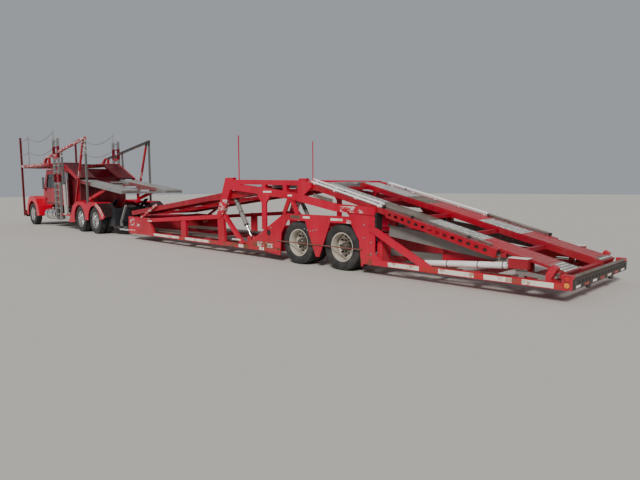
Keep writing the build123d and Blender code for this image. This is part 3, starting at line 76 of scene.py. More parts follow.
class Finish:
    """A material under construction; its methods add nodes and give their outputs."""

    def __init__(self, name, colour, rough, more=None):
        """Start with the shader's even values set on its sockets."""
        self.material = bpy.data.materials.new(name)
        self.material.use_nodes = True
        self.tree = self.material.node_tree
        self.shader = self.tree.nodes["Principled BSDF"]
        even = {"Base Color": (*colour, 1.0), "Roughness": rough, **(more or {})}
        for socket, value in even.items():
            self.shader.inputs[socket].default_value = value

    def node(self, kind, inputs, **settings):
        """Add a shader node; an input is given as a value or as another node's output."""
        node = self.tree.nodes.new("ShaderNode" + kind)
        for name, value in settings.items():
            setattr(node, name, value)
        for socket, value in inputs.items():
            if isinstance(value, bpy.types.NodeSocket):
                self.tree.links.new(value, node.inputs[socket])
            else:
                node.inputs[socket].default_value = value
        return node

    def place(self):
        """Object coordinates, in metres."""
        return self.node("TexCoord", {}).outputs["Object"]

    def noise(self, scale, detail, stretch=(1, 1, 1), roughness=0.55):
        """A noise on Object coordinates."""
        mapping = self.node("Mapping", {"Scale": stretch, "Vector": self.place()})
        noise = self.node("TexNoise", {"Scale": scale, "Detail": detail, "Roughness": roughness,
                                       "Vector": mapping.outputs["Vector"]})
        return noise.outputs["Fac"]

    def step(self, source, low, high, start=0.0, end=1.0):
        """Turn a pattern into patches: start below low, end above high."""
        span = self.node("MapRange", {"From Min": low, "From Max": high, "To Min": start,
                                      "To Max": end, "Value": source})
        return span.outputs["Result"]

    def height(self, low, high):
        """A value that falls from one at low to nought at high, by height above the ground."""
        split = self.node("SeparateXYZ", {"Vector": self.place()})
        return self.step(split.outputs["Z"], low, high, 1.0, 0.0)

    def sum(self, a, b, operation="ADD"):
        """Two values joined and held between nought and one."""
        node = self.node("Math", {0: a, 1: b}, operation=operation, use_clamp=True)
        return node.outputs["Value"]

    def product(self, a, b):
        return self.sum(a, b, "MULTIPLY")

    def inside(self, low, high):
        """One inside a box that is counted from the trailer's front axle, nought outside."""
        split = self.node("SeparateXYZ", {"Vector": self.place()})
        mask = None
        for i, (axis, shift) in enumerate((("X", MID_X), ("Y", 0.0), ("Z", 0.0))):
            for limit, test in ((low[i], "GREATER_THAN"), (high[i], "LESS_THAN")):
                if abs(limit) > FAR / 2:
                    continue
                node = self.node("Math", {0: split.outputs[axis], 1: limit - shift},
                                 operation=test)
                found = node.outputs["Value"]
                mask = found if mask is None else self.product(mask, found)
        return mask

    def lay(self, factor, under, over):
        """Mix a colour over what is there; under may be a colour or an earlier layer."""
        if isinstance(under, tuple):
            under = (*under, 1.0)
        node = self.node("Mix", {"Factor": factor, "A": under, "B": (*over, 1.0)},
                         data_type="RGBA")
        return node.outputs["Result"]

    def lay_zones(self, layer, zones, patches=None):
        """Lay each zone's colour over the layer, in patches if a pattern is given."""
        for low, high, colour in zones:
            mask = self.inside(low, high)
            if patches is not None:
                mask = self.product(mask, patches)
            layer = self.lay(mask, layer, colour)
        return layer

    def feed(self, socket, source):
        self.tree.links.new(source, self.shader.inputs[socket])

    def set_rough(self, source, low, high):
        self.feed("Roughness", self.step(source, 0.0, 1.0, low, high))

    def set_bump(self, source, strength, distance):
        bump = self.node("Bump", {"Strength": strength, "Distance": distance, "Height": source})
        self.feed("Normal", bump.outputs["Normal"])


RUST = (0.085, 0.032, 0.015)
RUST_THROUGH = (0.17, 0.062, 0.022)
STAIN = (0.16, 0.085, 0.05)
DUST = (0.36, 0.30, 0.24)
ROAD_FILM = (0.32, 0.3, 0.28)
# White laid on the pale patches: scuffed paint, and on the guard rails partly painted highlights.
SCUFF_AND_HIGHLIGHT_WHITE = (0.66, 0.58, 0.55)
# Stands for no limit in a zone's corner.
FAR = 100.0


def painted(name, colour, faded, rough=0.36, rust=0.5, dust=0.35, coat=0.25, zones=(),
            pale_patches=(), rusts=()):
    """Outdoor paint: faded patches, rust chips, and road dust low down and in streaks.

    Zones are boxes in another colour; pale patches are boxes where the paint is scuffed white,
    and on the guard rails partly painted highlights; rusts are boxes where it has rusted through."""
    mix = Finish(name, colour, rough, {"Coat Weight": coat, "Coat Roughness": 0.2,
                                       "Specular IOR Level": 0.25})
    fade = mix.step(mix.noise(0.9, 6), 0.42, 0.68)
    streak = mix.step(mix.noise(5, 6, (1, 1, 0.15)), 0.48, 0.75)
    low = mix.height(0.15, 0.75)
    worn = mix.step(mix.noise(7, 9, roughness=0.68), 0.64, 0.67)
    spots = mix.step(mix.noise(2.2, 8, roughness=0.7), 0.58, 0.66)
    rusty = mix.product(spots, low)
    chips = mix.product(mix.sum(worn, rusty), rust)
    film = mix.product(mix.sum(streak, low), dust)
    layer = mix.lay_zones(mix.lay(fade, colour, faded), zones)
    layer = mix.lay(chips, layer, RUST)
    if rusts:
        eaten = mix.step(mix.noise(4, 8, (1, 1, 2), 0.7), 0.44, 0.54)
        layer = mix.lay_zones(layer, [(*zone, RUST_THROUGH) for zone in rusts], eaten)
    if pale_patches:
        # Patches of scuffed paint; on the guard rails they are partly painted highlights.
        pale_pattern = mix.step(mix.noise(9, 8, (1, 1, 1.8), 0.7), 0.50, 0.56)
        layer = mix.lay_zones(layer, [(*zone, SCUFF_AND_HIGHLIGHT_WHITE) for zone in pale_patches], pale_pattern)
    mix.feed("Base Color", mix.lay(film, layer, DUST))
    mix.set_rough(mix.sum(chips, film), rough, 0.75)
    mix.set_bump(mix.noise(45, 5), 0.08, 0.002)
    return mix.material


def bare_metal(name, colour, dark, rough, brown=0.0, zones=()):
    """Galvanised or bare metal with large spangles, grey runs and some rust bleed."""
    mix = Finish(name, colour, rough, {"Metallic": 0.75})
    flakes = mix.node("TexVoronoi", {"Scale": 14.0, "Vector": mix.place()})
    runs = mix.step(mix.noise(4, 7, (1, 1, 0.3)), 0.42, 0.72)
    runs = mix.product(runs, 0.5)
    stain = mix.step(mix.noise(1.7, 8, roughness=0.65), 0.55 - 0.2 * brown, 0.7)
    stain = mix.product(stain, brown)
    layer = mix.lay(runs, colour, dark)
    layer = mix.lay(stain, layer, STAIN)
    mix.feed("Base Color", mix.lay_zones(layer, zones))
    mix.set_rough(flakes.outputs["Distance"], rough - 0.08, rough + 0.3)
    mix.set_bump(mix.noise(60, 4), 0.1, 0.002)
    return mix.material


def bright_metal(name, colour, rough):
    """Polished metal with fine drawn lines and a little road film."""
    mix = Finish(name, colour, rough, {"Metallic": 1.0})
    film = mix.step(mix.noise(3, 7), 0.5, 0.8)
    mix.feed("Base Color", mix.lay(mix.product(film, 0.35), colour, ROAD_FILM))
    mix.set_rough(film, rough, rough + 0.25)
    mix.set_bump(mix.noise(120, 3, (1, 1, 0.1)), 0.03, 0.001)
    return mix.material


def rubber(name, colour, dusty, rough=0.85):
    """Tyre rubber with road dust on its walls and a fine grain."""
    mix = Finish(name, colour, rough)
    dust = mix.step(mix.noise(6, 8), 0.4, 0.75)
    mix.feed("Base Color", mix.lay(mix.product(dust, 0.6), colour, dusty))
    mix.set_rough(dust, rough - 0.1, rough + 0.1)
    mix.set_bump(mix.noise(130, 3), 0.15, 0.002)
    return mix.material


def lens(name, colour, glow=0.0):
    """A moulded lamp lens with small ribs."""
    mix = Finish(name, colour, 0.18, {"Coat Weight": 0.8, "Emission Strength": glow,
                                      "Emission Color": (*colour, 1.0)})
    ribs = mix.node("TexWave", {"Scale": 30, "Vector": mix.place()}, bands_direction="DIAGONAL")
    mix.set_bump(ribs.outputs["Fac"], 0.3, 0.002)
    mix.set_rough(mix.noise(9, 5), 0.12, 0.35)
    return mix.material


def tape(name, colour, worn):
    """Reflective tape: small honeycomb cells, scuffed and dusty."""
    mix = Finish(name, colour, 0.35)
    cells = mix.node("TexVoronoi", {"Scale": 220, "Vector": mix.place()},
                     feature="DISTANCE_TO_EDGE")
    scuff = mix.step(mix.noise(6, 9, roughness=0.7), 0.52, 0.62)
    mix.feed("Base Color", mix.lay(scuff, colour, worn))
    mix.set_rough(scuff, 0.3, 0.75)
    mix.set_bump(cells.outputs["Distance"], 0.15, 0.001)
    return mix.material


def glass(name, colour):
    """Dark cab glass with a faint film of dust."""
    mix = Finish(name, colour, 0.05, {"Coat Weight": 0.3, "Transmission Weight": 0.7, "IOR": 1.45})
    film = mix.step(mix.noise(4, 6), 0.5, 0.8)
    mix.set_rough(film, 0.03, 0.22)
    return mix.material


def ground(name):
    """Pale plain floor with the faintest mottling."""
    mix = Finish(name, (0.565, 0.535, 0.49), 0.9)
    shade = mix.product(mix.noise(2, 8), 0.25)
    mix.feed("Base Color", mix.lay(shade, (0.575, 0.545, 0.50), (0.48, 0.452, 0.41)))
    return mix.material


FINISH = {}
GREY_STEEL = (0.13, 0.128, 0.122)
OFF_WHITE = (0.62, 0.60, 0.57)
# Dark grey-brown laid on the far side's top guard rails.
FAR_RAIL_DARK = (0.045, 0.038, 0.033)
NEAR_BLACK = (0.014, 0.013, 0.014)
# Parts of a node that are painted another colour: low corner, high corner, colour.
GUARD_ZONES = [
    ((11.30, -FAR, 1.0), (11.478, FAR, 3.430), GREY_STEEL),
    ((11.30, -FAR, 3.30), (12.60, 0.0, FAR), FAR_RAIL_DARK),
    ((12.60, -FAR, 3.10), (14.00, 0.0, FAR), FAR_RAIL_DARK),
    ((14.00, -FAR, 2.93), (15.32, 0.0, FAR), FAR_RAIL_DARK),
    ((13.60, -FAR, 1.80), (13.90, FAR, 3.06), GREY_STEEL),
    ((13.60, -FAR, 0.60), (13.90, FAR, 1.80), OFF_WHITE),
    ((19.03, -FAR, 0.0), (FAR, FAR, FAR), (0.13, 0.010, 0.014)),
]
# Pale patches on the near side's guard rails and beams: partly scuffed paint, partly painted
# highlights.
GUARD_SCUFFS_AND_HIGHLIGHTS = [
    ((11.30, 0.0, 2.90), (15.90, FAR, FAR)), ((12.05, -FAR, 2.05), (12.30, FAR, 2.30)),
    ((15.90, 0.0, 2.55), (19.02, FAR, 2.80)),
]
LADDER_ZONES = [((14.10, -FAR, 2.88), (14.80, FAR, 3.33), (0.26, 0.010, 0.022)),
                ((14.10, -FAR, 1.90), (14.80, FAR, 2.22), (0.26, 0.010, 0.022))]
HITCH_ZONES = [((8.45, -FAR, 0.17), (9.76, FAR, 0.235), (0.50, 0.50, 0.49)),
               ((9.15, -FAR, 0.32), (9.692, FAR, 1.10), (0.24, 0.24, 0.235))]
# The cab's back, behind X 13.90, is painted near black: painted shadow of the head deck above it.
CAB_SHADE_ZONES = [((-FAR, -FAR, 0.0), (13.90, FAR, FAR), (0.085, 0.003, 0.008))]
DOOR_ZONES = [((15.0, 1.045, 0.0), (FAR, FAR, FAR), NEAR_BLACK),
              ((15.0, -FAR, 0.0), (FAR, -1.045, FAR), NEAR_BLACK)]
# The head deck's slope, inside its side bars, is painted dark maroon: painted shade.
HEAD_SHADE_ZONES = [((-FAR, -1.105, 0.0), (13.96, 1.105, FAR), (0.085, 0.003, 0.008))]
CABINET_ZONES = [((-FAR, -FAR, 0.0), (11.40, FAR, FAR), (0.022, 0.014, 0.016))]
FENDER_ZONES = [((-FAR, -1.236, 0.0), (10.62, 1.236, FAR), (0.030, 0.016, 0.017))]
RAMP_ZONES = [((11.35, 0.0, 0.0), (12.50, FAR, FAR), (0.40, 0.085, 0.095)),
              ((9.40, -FAR, 0.0), (11.60, 0.0, FAR), (0.42, 0.17, 0.17))]
TAIL_ZONES = [((-FAR, -1.186, 0.0), (-5.645, 1.186, 0.372), (0.040, 0.026, 0.022)),
              ((-FAR, -1.186, 0.372), (-5.645, 1.186, 0.43), (0.45, 0.36, 0.33)),
              ((-5.31, -FAR, 0.30), (-4.84, FAR, 0.42), (0.20, 0.19, 0.18))]
FLOOR_ZONES = [((-3.40, 0.81, 0.35), (-2.20, 0.91, 0.52), GREY_STEEL),
               ((-3.40, -0.91, 0.35), (-2.20, -0.81, 0.52), GREY_STEEL)]
SIDE_SCRAPES = [
    ((2.49, -FAR, 1.00), (3.37, FAR, 1.36)), ((-1.90, -FAR, 1.17), (-1.30, FAR, 1.29)),
    ((-1.60, -FAR, 0.95), (-1.36, FAR, 1.03)), ((0.78, -FAR, 0.29), (1.36, FAR, 0.40)),
    ((7.66, -FAR, 0.43), (7.95, FAR, 0.68)), ((7.24, -FAR, 0.44), (7.52, FAR, 0.52)),
    ((6.20, 0.0, 0.70), (7.26, 1.2575, 1.20)),
]
SIDE_ZONES = [((-1.90, 1.2625, 0.44), (0.64, FAR, 0.50), (0.21, 0.075, 0.06)),
              ((-1.90, -FAR, 0.44), (0.64, -1.2625, 0.50), (0.21, 0.075, 0.06))]
SIDE_RUSTS = [((0.55, -FAR, 0.19), (2.75, FAR, 0.31)), ((0.75, -FAR, 0.30), (1.70, FAR, 0.42)),
              ((-2.10, -FAR, 0.19), (-1.60, FAR, 0.40))]


def make_finishes(settings):
    red = tuple(settings.red_paint)
    bright = tuple(settings.bright_red_paint)
    FINISH.update({
        "red": painted("frame_red", red, (0.40, 0.006, 0.020), rust=0.6, dust=0.07, coat=0.1),
        "side": painted("side_red", red, (0.42, 0.006, 0.022), rust=0.6, dust=0.07, coat=0.1,
                        zones=SIDE_ZONES, pale_patches=SIDE_SCRAPES, rusts=SIDE_RUSTS),
        "floor": painted("floor_red", red, (0.36, 0.006, 0.020), rust=0.7, dust=0.12, coat=0.05,
                         zones=FLOOR_ZONES),
        "guard": painted("guard_red", (0.40, 0.005, 0.016), (0.30, 0.008, 0.020), rust=0.5,
                         dust=0.1, coat=0.1, zones=GUARD_ZONES, pale_patches=GUARD_SCUFFS_AND_HIGHLIGHTS),
        "deck_red": painted("deck_red", (0.40, 0.005, 0.020), (0.27, 0.010, 0.024), rust=0.8,
                            dust=0.1, coat=0.05),
        "bright": painted("hood_red", bright, (0.52, 0.0, 0.020), 0.22, 0.0, 0.0, 0.35),
        "cab": painted("cab_red", (0.36, 0.001, 0.014), (0.29, 0.001, 0.012), 0.26, 0.0, 0.02,
                       0.25, zones=CAB_SHADE_ZONES),
        "door": painted("door_red", (0.36, 0.001, 0.014), (0.29, 0.001, 0.012), 0.26, 0.0, 0.02,
                        0.25, zones=DOOR_ZONES),
        "fender": painted("fender_red", red, (0.42, 0.004, 0.022), rust=0.3, dust=0.06, coat=0.1,
                          zones=FENDER_ZONES),
        "ramp": bare_metal("ramp_zinc", (0.44, 0.43, 0.42), (0.26, 0.235, 0.22), 0.45,
                           zones=RAMP_ZONES),
        "dark": painted("bumper_black", (0.018, 0.011, 0.009), (0.040, 0.022, 0.018), 0.6, 0.5,
                        0.03),
        # Dark red: the cabinet's own paint, darkened further as painted shade. The sloping head
        # treads wear it as painted shade.
        "dark_red": painted("dark_red_with_painted_shade", (0.12, 0.003, 0.009), (0.08, 0.005, 0.009), 0.4, 0.4,
                            0.12, zones=CABINET_ZONES),
        "ladder": bare_metal("ladder_zinc", (0.36, 0.36, 0.355), (0.17, 0.17, 0.165), 0.5,
                             zones=LADDER_ZONES),
        "head": painted("head_red", (0.40, 0.004, 0.020), (0.30, 0.008, 0.022), rust=0.6,
                        dust=0.08, coat=0.05, zones=HEAD_SHADE_ZONES),
        "hitch": painted("hitch_black", (0.014, 0.016, 0.024), (0.026, 0.028, 0.036), 0.5, 0.3,
                         0.05, zones=HITCH_ZONES),
        "tail": painted("tail_red", red, (0.36, 0.006, 0.020), rust=0.8, dust=0.1, coat=0.05,
                        zones=TAIL_ZONES),
        "black": painted("chassis_black", (0.018, 0.018, 0.02), (0.035, 0.033, 0.03), 0.5, 0.4,
                         0.3),
        "gloss": painted("latch_black", (0.012, 0.012, 0.013), (0.02, 0.02, 0.02), 0.35, 0.2, 0.1),
        "grey": painted("beam_grey", (0.19, 0.185, 0.175), (0.26, 0.25, 0.23), 0.55, 0.35, 0.3),
        "white": painted("barrel_white", (0.93, 0.92, 0.90), (0.84, 0.82, 0.79), 0.3, 0.2, 0.06),
        "cream": painted("rim_cream", (0.62, 0.58, 0.5), (0.5, 0.45, 0.37), 0.4, 0.5, 0.4),
        "galvanised": bare_metal("galvanised", (0.42, 0.43, 0.42), (0.20, 0.20, 0.19), 0.45),
        "stained": bare_metal("stained_zinc", (0.32, 0.29, 0.26), (0.17, 0.15, 0.13), 0.5,
                              brown=0.8),
        # Lighter lip finishes: wear on the cups' rims, and a painted highlight where the raised
        # rims catch the light.
        "worn_and_highlight_zinc": bare_metal("worn_and_highlight_zinc", (0.56, 0.55, 0.53), (0.34, 0.32, 0.30), 0.4),
        "worn_and_highlight_red": painted("worn_and_highlight_lip_red", (0.52, 0.045, 0.065), (0.44, 0.10, 0.11), 0.5, 0.6,
                            0.2),
        "browned": bare_metal("browned_zinc", (0.30, 0.20, 0.175), (0.17, 0.095, 0.08), 0.55,
                              brown=0.9),
        "iron": bare_metal("rusty_iron", (0.2, 0.13, 0.1), (0.12, 0.06, 0.04), 0.6, brown=1.0),
        "aluminium": bright_metal("polished_aluminium", (0.82, 0.82, 0.82), 0.18),
        "chrome": bright_metal("chrome", (0.88, 0.88, 0.88), 0.08),
        "tyre": rubber("tyre_rubber", (0.022, 0.022, 0.023), (0.10, 0.092, 0.082)),
        "hole": Finish("hole_shadow", (0.008, 0.008, 0.008), 0.9).material,
        "red_lens": lens("red_lens", (0.5, 0.01, 0.01), 0.15),
        "amber_lens": lens("amber_lens", (0.75, 0.22, 0.02), 0.2),
        "clear_lens": lens("clear_lens", (0.75, 0.77, 0.8)),
        "white_tape": tape("white_tape", (0.82, 0.79, 0.7), (0.45, 0.3, 0.2)),
        "red_tape": tape("red_tape", (0.5, 0.03, 0.03), (0.25, 0.08, 0.05)),
        "glass": glass("cab_glass", (0.05, 0.06, 0.065)),
        "trim": rubber("cab_trim", (0.05, 0.05, 0.053), (0.09, 0.088, 0.085), 0.65),
    })


# Mesh helpers


MERGE_WITHIN = 0.00005
SHARP_OVER = radians(32)


def at(x, y, z):
    """A point counted from the trailer's front axle, moved into the frame."""
    return Vector((x - MID_X, y, z))


def ease(bm, verts, amount):
    """Bevel a block's edges, if an amount is given."""
    if amount:
        edges = list({e for v in verts for e in v.link_edges})
        bmesh.ops.bevel(bm, geom=edges, offset=amount, affect="EDGES", segments=1, profile=0.5,
                        material=-1)


def box(bm, corner, opposite, bevel=0.0):
    """A block between two opposite corners, with its edges eased."""
    a, b = at(*map(min, corner, opposite)), at(*map(max, corner, opposite))
    verts = bmesh.ops.create_cube(bm, size=1.0)["verts"]
    bmesh.ops.scale(bm, vec=b - a, verts=verts)
    bmesh.ops.translate(bm, vec=(a + b) / 2, verts=verts)
    ease(bm, verts, bevel)


def heading(start, end):
    """A matrix whose Z axis runs from start to end, and whose X stays as level as it can."""
    run = (end - start).normalized()
    side = Vector((0, 1, 0))
    if abs(run.dot(side)) > 0.99:
        side = Vector((1, 0, 0))
    across = run.cross(side).normalized()
    side = across.cross(run).normalized()
    turn = Matrix((across, -side, run)).transposed()
    if turn.determinant() < 0:
        turn = Matrix((across, side, run)).transposed()
    return Matrix.Translation(start) @ turn.to_4x4()


def stand(bm, verts, start, end):
    """Move a shape that is centred on the Z axis so that it runs from start to end."""
    bmesh.ops.translate(bm, vec=(0, 0, (end - start).length / 2), verts=verts)
    bmesh.ops.transform(bm, matrix=heading(start, end), verts=verts)


def rod(bm, start, end, radius, radius_end=None, sides=16):
    """A round bar between two points in the frame."""
    made = bmesh.ops.create_cone(
        bm, cap_ends=True, segments=sides, radius1=radius,
        radius2=radius if radius_end is None else radius_end, depth=(end - start).length)
    stand(bm, made["verts"], start, end)


def beam(bm, start, end, width, depth, bevel=0.0):
    """A square bar between two points: width across the truck, depth in the side view."""
    verts = bmesh.ops.create_cube(bm, size=1.0)["verts"]
    bmesh.ops.scale(bm, vec=(depth, width, (end - start).length), verts=verts)
    stand(bm, verts, start, end)
    ease(bm, verts, bevel)


def turned(bm, profile, centre, steps, closed=False):
    """Spin a profile of (radius, y) round a wheel's axis through centre."""
    verts = [bm.verts.new(centre + Vector((r, y, 0))) for r, y in profile]
    edges = [bm.edges.new(pair) for pair in zip(verts, verts[1:])]
    if closed:
        edges.append(bm.edges.new((verts[-1], verts[0])))
    bmesh.ops.spin(bm, geom=verts + edges, cent=centre, axis=(0, 1, 0), angle=2 * pi,
                   steps=steps, use_merge=True)


def flip(bm, verts, faces):
    """Move shapes to the truck's other side."""
    bmesh.ops.scale(bm, vec=(1, -1, 1), verts=verts)
    bmesh.ops.reverse_faces(bm, faces=faces)


def mirrored(bm):
    """Add the same shapes on the truck's other side."""
    copy = bmesh.ops.duplicate(bm, geom=bm.verts[:] + bm.edges[:] + bm.faces[:])["geom"]
    flip(bm, [g for g in copy if isinstance(g, bmesh.types.BMVert)],
         [g for g in copy if isinstance(g, bmesh.types.BMFace)])


def paint_from(bm, first, index):
    """Give the faces made since first the material with this index."""
    bm.faces.ensure_lookup_table()
    for face in bm.faces[first:]:
        face.material_index = index


def mesh_from(bm, name):
    """Turn a bmesh into a mesh and free it."""
    mesh = bpy.data.meshes.new(name)
    bm.to_mesh(mesh)
    bm.free()
    return mesh


def add_object(name, data):
    made = bpy.data.objects.new(name, data)
    bpy.context.scene.collection.objects.link(made)
    return made


def finish_piece(name, bm, finishes, body, smooth=True, outward=False):
    """Turn a bmesh into a piece that rides on a body."""
    bmesh.ops.remove_doubles(bm, verts=bm.verts, dist=MERGE_WITHIN)
    if outward:
        bmesh.ops.recalc_face_normals(bm, faces=bm.faces)
    mesh = mesh_from(bm, name)
    piece = add_object(name, mesh)
    for finish in finishes:
        mesh.materials.append(FINISH[finish])
    if smooth:
        mesh.shade_smooth()
        mesh.set_sharp_from_angle(angle=SHARP_OVER)
    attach(piece, body)
    return piece


# Finishes of the frame's own nodes


NODES_OF = {
    "side": "side_frame_left side_frame_right",
    "floor": "trailer_floor",
    "stained": "floor_tracks",
    "black": "trailer_axles tractor_frame fifth_wheel tractor_axles engine knuckle_left "
             "knuckle_right",
    "tail": "rear_bumper",
    "red_lens": "tail_lamps",
    "clear_lens": "headlamps",
    "galvanised": "mid_deck",
    "deck_red": "front_deck rear_deck",
    "head": "head_deck",
    "ramp": "tractor_deck",
    "grey": "front_lift_barrels",
    "white": "rear_lift_barrels",
    "chrome": "front_lift_rods rear_lift_rods front_bumper exhaust",
    "aluminium": "fuel_tanks",
    "bright": "hood",
    "cab": "cab",
    "door": "door_left door_right",
    "glass": "cab_glass door_glass_left door_glass_right",
    "trim": "cab_interior",
    "fender": "drive_fenders",
    "guard": "guard_frames",
    "ladder": "ladders",
    "dark_red": "rear_cabinet",
    "red": "deck_supports",
    "hitch": "stinger_boxes",
}


def finish_of(node):
    """The finish of a node of the frame; the wheels go by their names."""
    for finish, nodes in NODES_OF.items():
        if node in nodes.split():
            return finish
    if "tyre" in node:
        return "tyre"
    return "cream" if "trailer" in node else "aluminium"


def dress_nodes():
    for name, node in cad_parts.items():
        node.data.materials.clear()
        node.data.materials.append(FINISH[finish_of(name)])


# Wheels


TYRE_STEPS = 72
RIM_STEPS = 60
FACE_THICKNESS = 0.012
HAND_HOLE_CIRCLE = 0.208
HAND_HOLE_R = 0.026
NUT_CIRCLE = 0.1425


def tyre_profile(radius, width):
    """Half-round walls, four ribs and square-cut grooves, as a closed loop."""
    half = width / 2
    wall = [
        (0.288, half - 0.036), (0.300, half - 0.020), (0.318, half - 0.012),
        (0.345, half - 0.003), (0.385, half), (radius - 0.058, half - 0.004),
        (radius - 0.030, half - 0.012), (radius - 0.010, half - 0.018),
        (radius - 0.001, half - 0.030),
    ]
    ribs = []
    groove = 0.006
    for y in (half * 0.55, half * 0.18):
        ribs += [(radius, y + groove), (radius - 0.013, y + groove * 0.6),
                 (radius - 0.013, y - groove * 0.6), (radius, y - groove)]
    crown = wall + ribs
    return crown + [(r, -y) for r, y in reversed(crown)]


def rim_shell(bm, centre, half, face_y, hub_y):
    """A rim barrel with rolled lips and a dished face; lengths along Y from the centre."""
    lip = [(0.276, 0.006), (0.303, 0.004), (0.304, 0.014), (0.289, 0.020), (0.284, 0.050),
           (0.272, 0.080)]
    well = [(0.270, 0.030), (0.262, 0.075)]
    barrel = [(r, y - half) for r, y in lip] + [(r, half - y) for r, y in lip[::-1] + well]
    barrel += [(0.258, 0.0)] + [(r, y - half) for r, y in well[::-1]]
    turned(bm, barrel, centre, RIM_STEPS, closed=True)
    back = [(0.262, face_y), (0.236, face_y + 0.004), (0.176, hub_y + 0.004), (0.164, hub_y),
            (0.088, hub_y)]
    face = [(r, y + FACE_THICKNESS) for r, y in back] + back[::-1]
    turned(bm, face, centre, RIM_STEPS, closed=True)


def round_wheel(centre, radius, start=0.0):
    """Ten points round a wheel's axis."""
    for i in range(10):
        angle = 2 * pi * (i + start) / 10
        yield centre + Vector((radius * sin(angle), 0, radius * cos(angle)))


def cut_hand_holes(piece, centre, low_y, high_y):
    """Cut the round hand holes through the rim's face with one boolean, and apply it."""
    bm = bmesh.new()
    for spot in round_wheel(centre, HAND_HOLE_CIRCLE, 0.5):
        rod(bm, spot + Vector((0, low_y, 0)), spot + Vector((0, high_y, 0)), HAND_HOLE_R)
    cutter = add_object("hand_holes", mesh_from(bm, "hand_holes"))
    cut = piece.modifiers.new("holes", "BOOLEAN")
    cut.object = cutter
    cut.solver = "EXACT"
    bpy.context.view_layer.update()
    ready = piece.evaluated_get(bpy.context.evaluated_depsgraph_get())
    result = bpy.data.meshes.new_from_object(ready)
    piece.modifiers.clear()
    piece.data = result
    bpy.data.objects.remove(cutter)


def wheel_nuts(bm, centre, y):
    """Studs and nuts round the hub."""
    for spot in round_wheel(centre + Vector((0, y, 0)), NUT_CIRCLE):
        nut_end, stud_end = spot + Vector((0, 0.026, 0)), spot + Vector((0, 0.040, 0))
        rod(bm, spot, nut_end, 0.0165, sides=6)
        rod(bm, nut_end, stud_end, 0.010, sides=8)


def hub_cap(bm, centre, inner, outer):
    """A hub barrel with a stepped cap."""
    profile = [(0.086, inner), (0.086, outer - 0.075), (0.082, outer - 0.070),
               (0.078, outer - 0.045), (0.064, outer - 0.030), (0.060, outer - 0.006),
               (0.050, outer), (0.0, outer)]
    turned(bm, profile, centre, 32)


def wheel_piece(name, bm, finish, body, side):
    """Finish a piece that was made for the left wheel, on its own side."""
    if side < 0:
        flip(bm, bm.verts, bm.faces)
    return finish_piece(name, bm, [finish], body, outward=True)


def build_wheel(name, x, radius, body, side):
    """The tyre, rim and hub pieces of one wheel."""
    steer, trailer = "steer" in name, "trailer" in name
    rim_finish = "cream" if trailer else "aluminium"
    width = FRONT_TYRE_WIDTH if steer else TYRE_WIDTH
    centre = at(x, 0, radius)
    outer = WHEEL_OUTER_Y - width / 2
    mid_y = WHEEL_OUTER_Y - TYRE_WIDTH - TWIN_GAP / 2
    # Each rim's middle, its face and its hub plate along Y.
    rows = [(outer, outer + 0.080, outer + 0.034)]
    if not steer:
        rows = [(outer, mid_y + 0.058, mid_y + 0.002),
                (outer - TYRE_WIDTH - TWIN_GAP, mid_y - 0.070, mid_y - 0.014)]
    tyre, rim, hub = bmesh.new(), bmesh.new(), bmesh.new()
    for y, face_y, hub_y in rows:
        turned(tyre, tyre_profile(radius, width), at(x, y, radius), TYRE_STEPS, closed=True)
        rim_shell(rim, at(x, y, radius), width / 2 - 0.022, face_y - y, hub_y - y)
    tyres = wheel_piece(name + "_tyre_set", tyre, "tyre", body, side)
    rims = wheel_piece(name + "_rim_shells", rim, rim_finish, body, side)
    holes = (WHEEL_OUTER_Y - 0.15, WHEEL_OUTER_Y - 0.02) if steer else (0.86, 1.06)
    cut_hand_holes(rims, centre, *sorted(side * y for y in holes))
    rims.data.materials.clear()
    rims.data.materials.append(FINISH[rim_finish])
    if steer:
        wheel_nuts(hub, centre, WHEEL_OUTER_Y - 0.140 + 0.034 + 0.012)
        hub_cap(hub, centre, KINGPIN_SIDE, WHEEL_OUTER_Y - 0.022)
    else:
        wheel_nuts(hub, centre, mid_y + 0.014)
        hub_cap(hub, centre, 0.89, WHEEL_OUTER_Y - 0.035)
    wheel_piece(name + "_hub_set", hub, "black" if trailer else "chrome", body, side)
    return tyres, rims


WHEEL_ROWS = [("steer", 17.952, TRACTOR_TYRE_R), ("drive_front", 12.240, TRACTOR_TYRE_R),
              ("drive_rear", 10.887, TRACTOR_TYRE_R), ("trailer_front", 0.0, TRAILER_TYRE_R),
              ("trailer_rear", -1.275, TRAILER_TYRE_R)]


def build_wheels():
    for label, x, radius in WHEEL_ROWS:
        for word, side in SIDES:
            body = label + "_wheel_" + word
            tyres, rims = build_wheel(label + "_" + word, x, radius, body, side)
            if label == "steer":
                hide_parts("steer_tyre_" + word)
                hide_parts("steer_rim_" + word)
            else:
                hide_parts(label + "_tyres_" + word)
                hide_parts(label + "_rims_" + word)


# Deck treads


CUP_SIDES = 8
# The rows' spacing and their shift to either side, as shares of the cups' pitch.
ROW_SPACING = 0.87
ROW_SHIFT = 0.25
# Radius and height of each ring of a punched cup, from its foot to its hole.
CUP_RINGS = ((0.034, 0.0034), (0.029, 0.0100), (0.026, 0.0100), (0.025, 0.0075))


def loop_edges(verts):
    ring = set(verts)
    return {e for v in verts for e in v.link_edges if ring.issuperset(e.verts)}


def tread_cup(bm):
    """One punched cup: a raised lip, lighter for wear and for a painted highlight, round a dark
    hole.
    """
    rings = []
    for radius, height in CUP_RINGS:
        made = bmesh.ops.create_circle(bm, segments=CUP_SIDES, radius=radius)
        bmesh.ops.translate(bm, vec=(0, 0, height), verts=made["verts"])
        rings.append(made["verts"])
    for low, high in zip(rings, rings[1:]):
        bmesh.ops.bridge_loops(bm, edges=list(loop_edges(low) | loop_edges(high)))
    paint_from(bm, 0, 2)
    cap = bm.faces.new(rings[-1])
    cap.material_index = 1


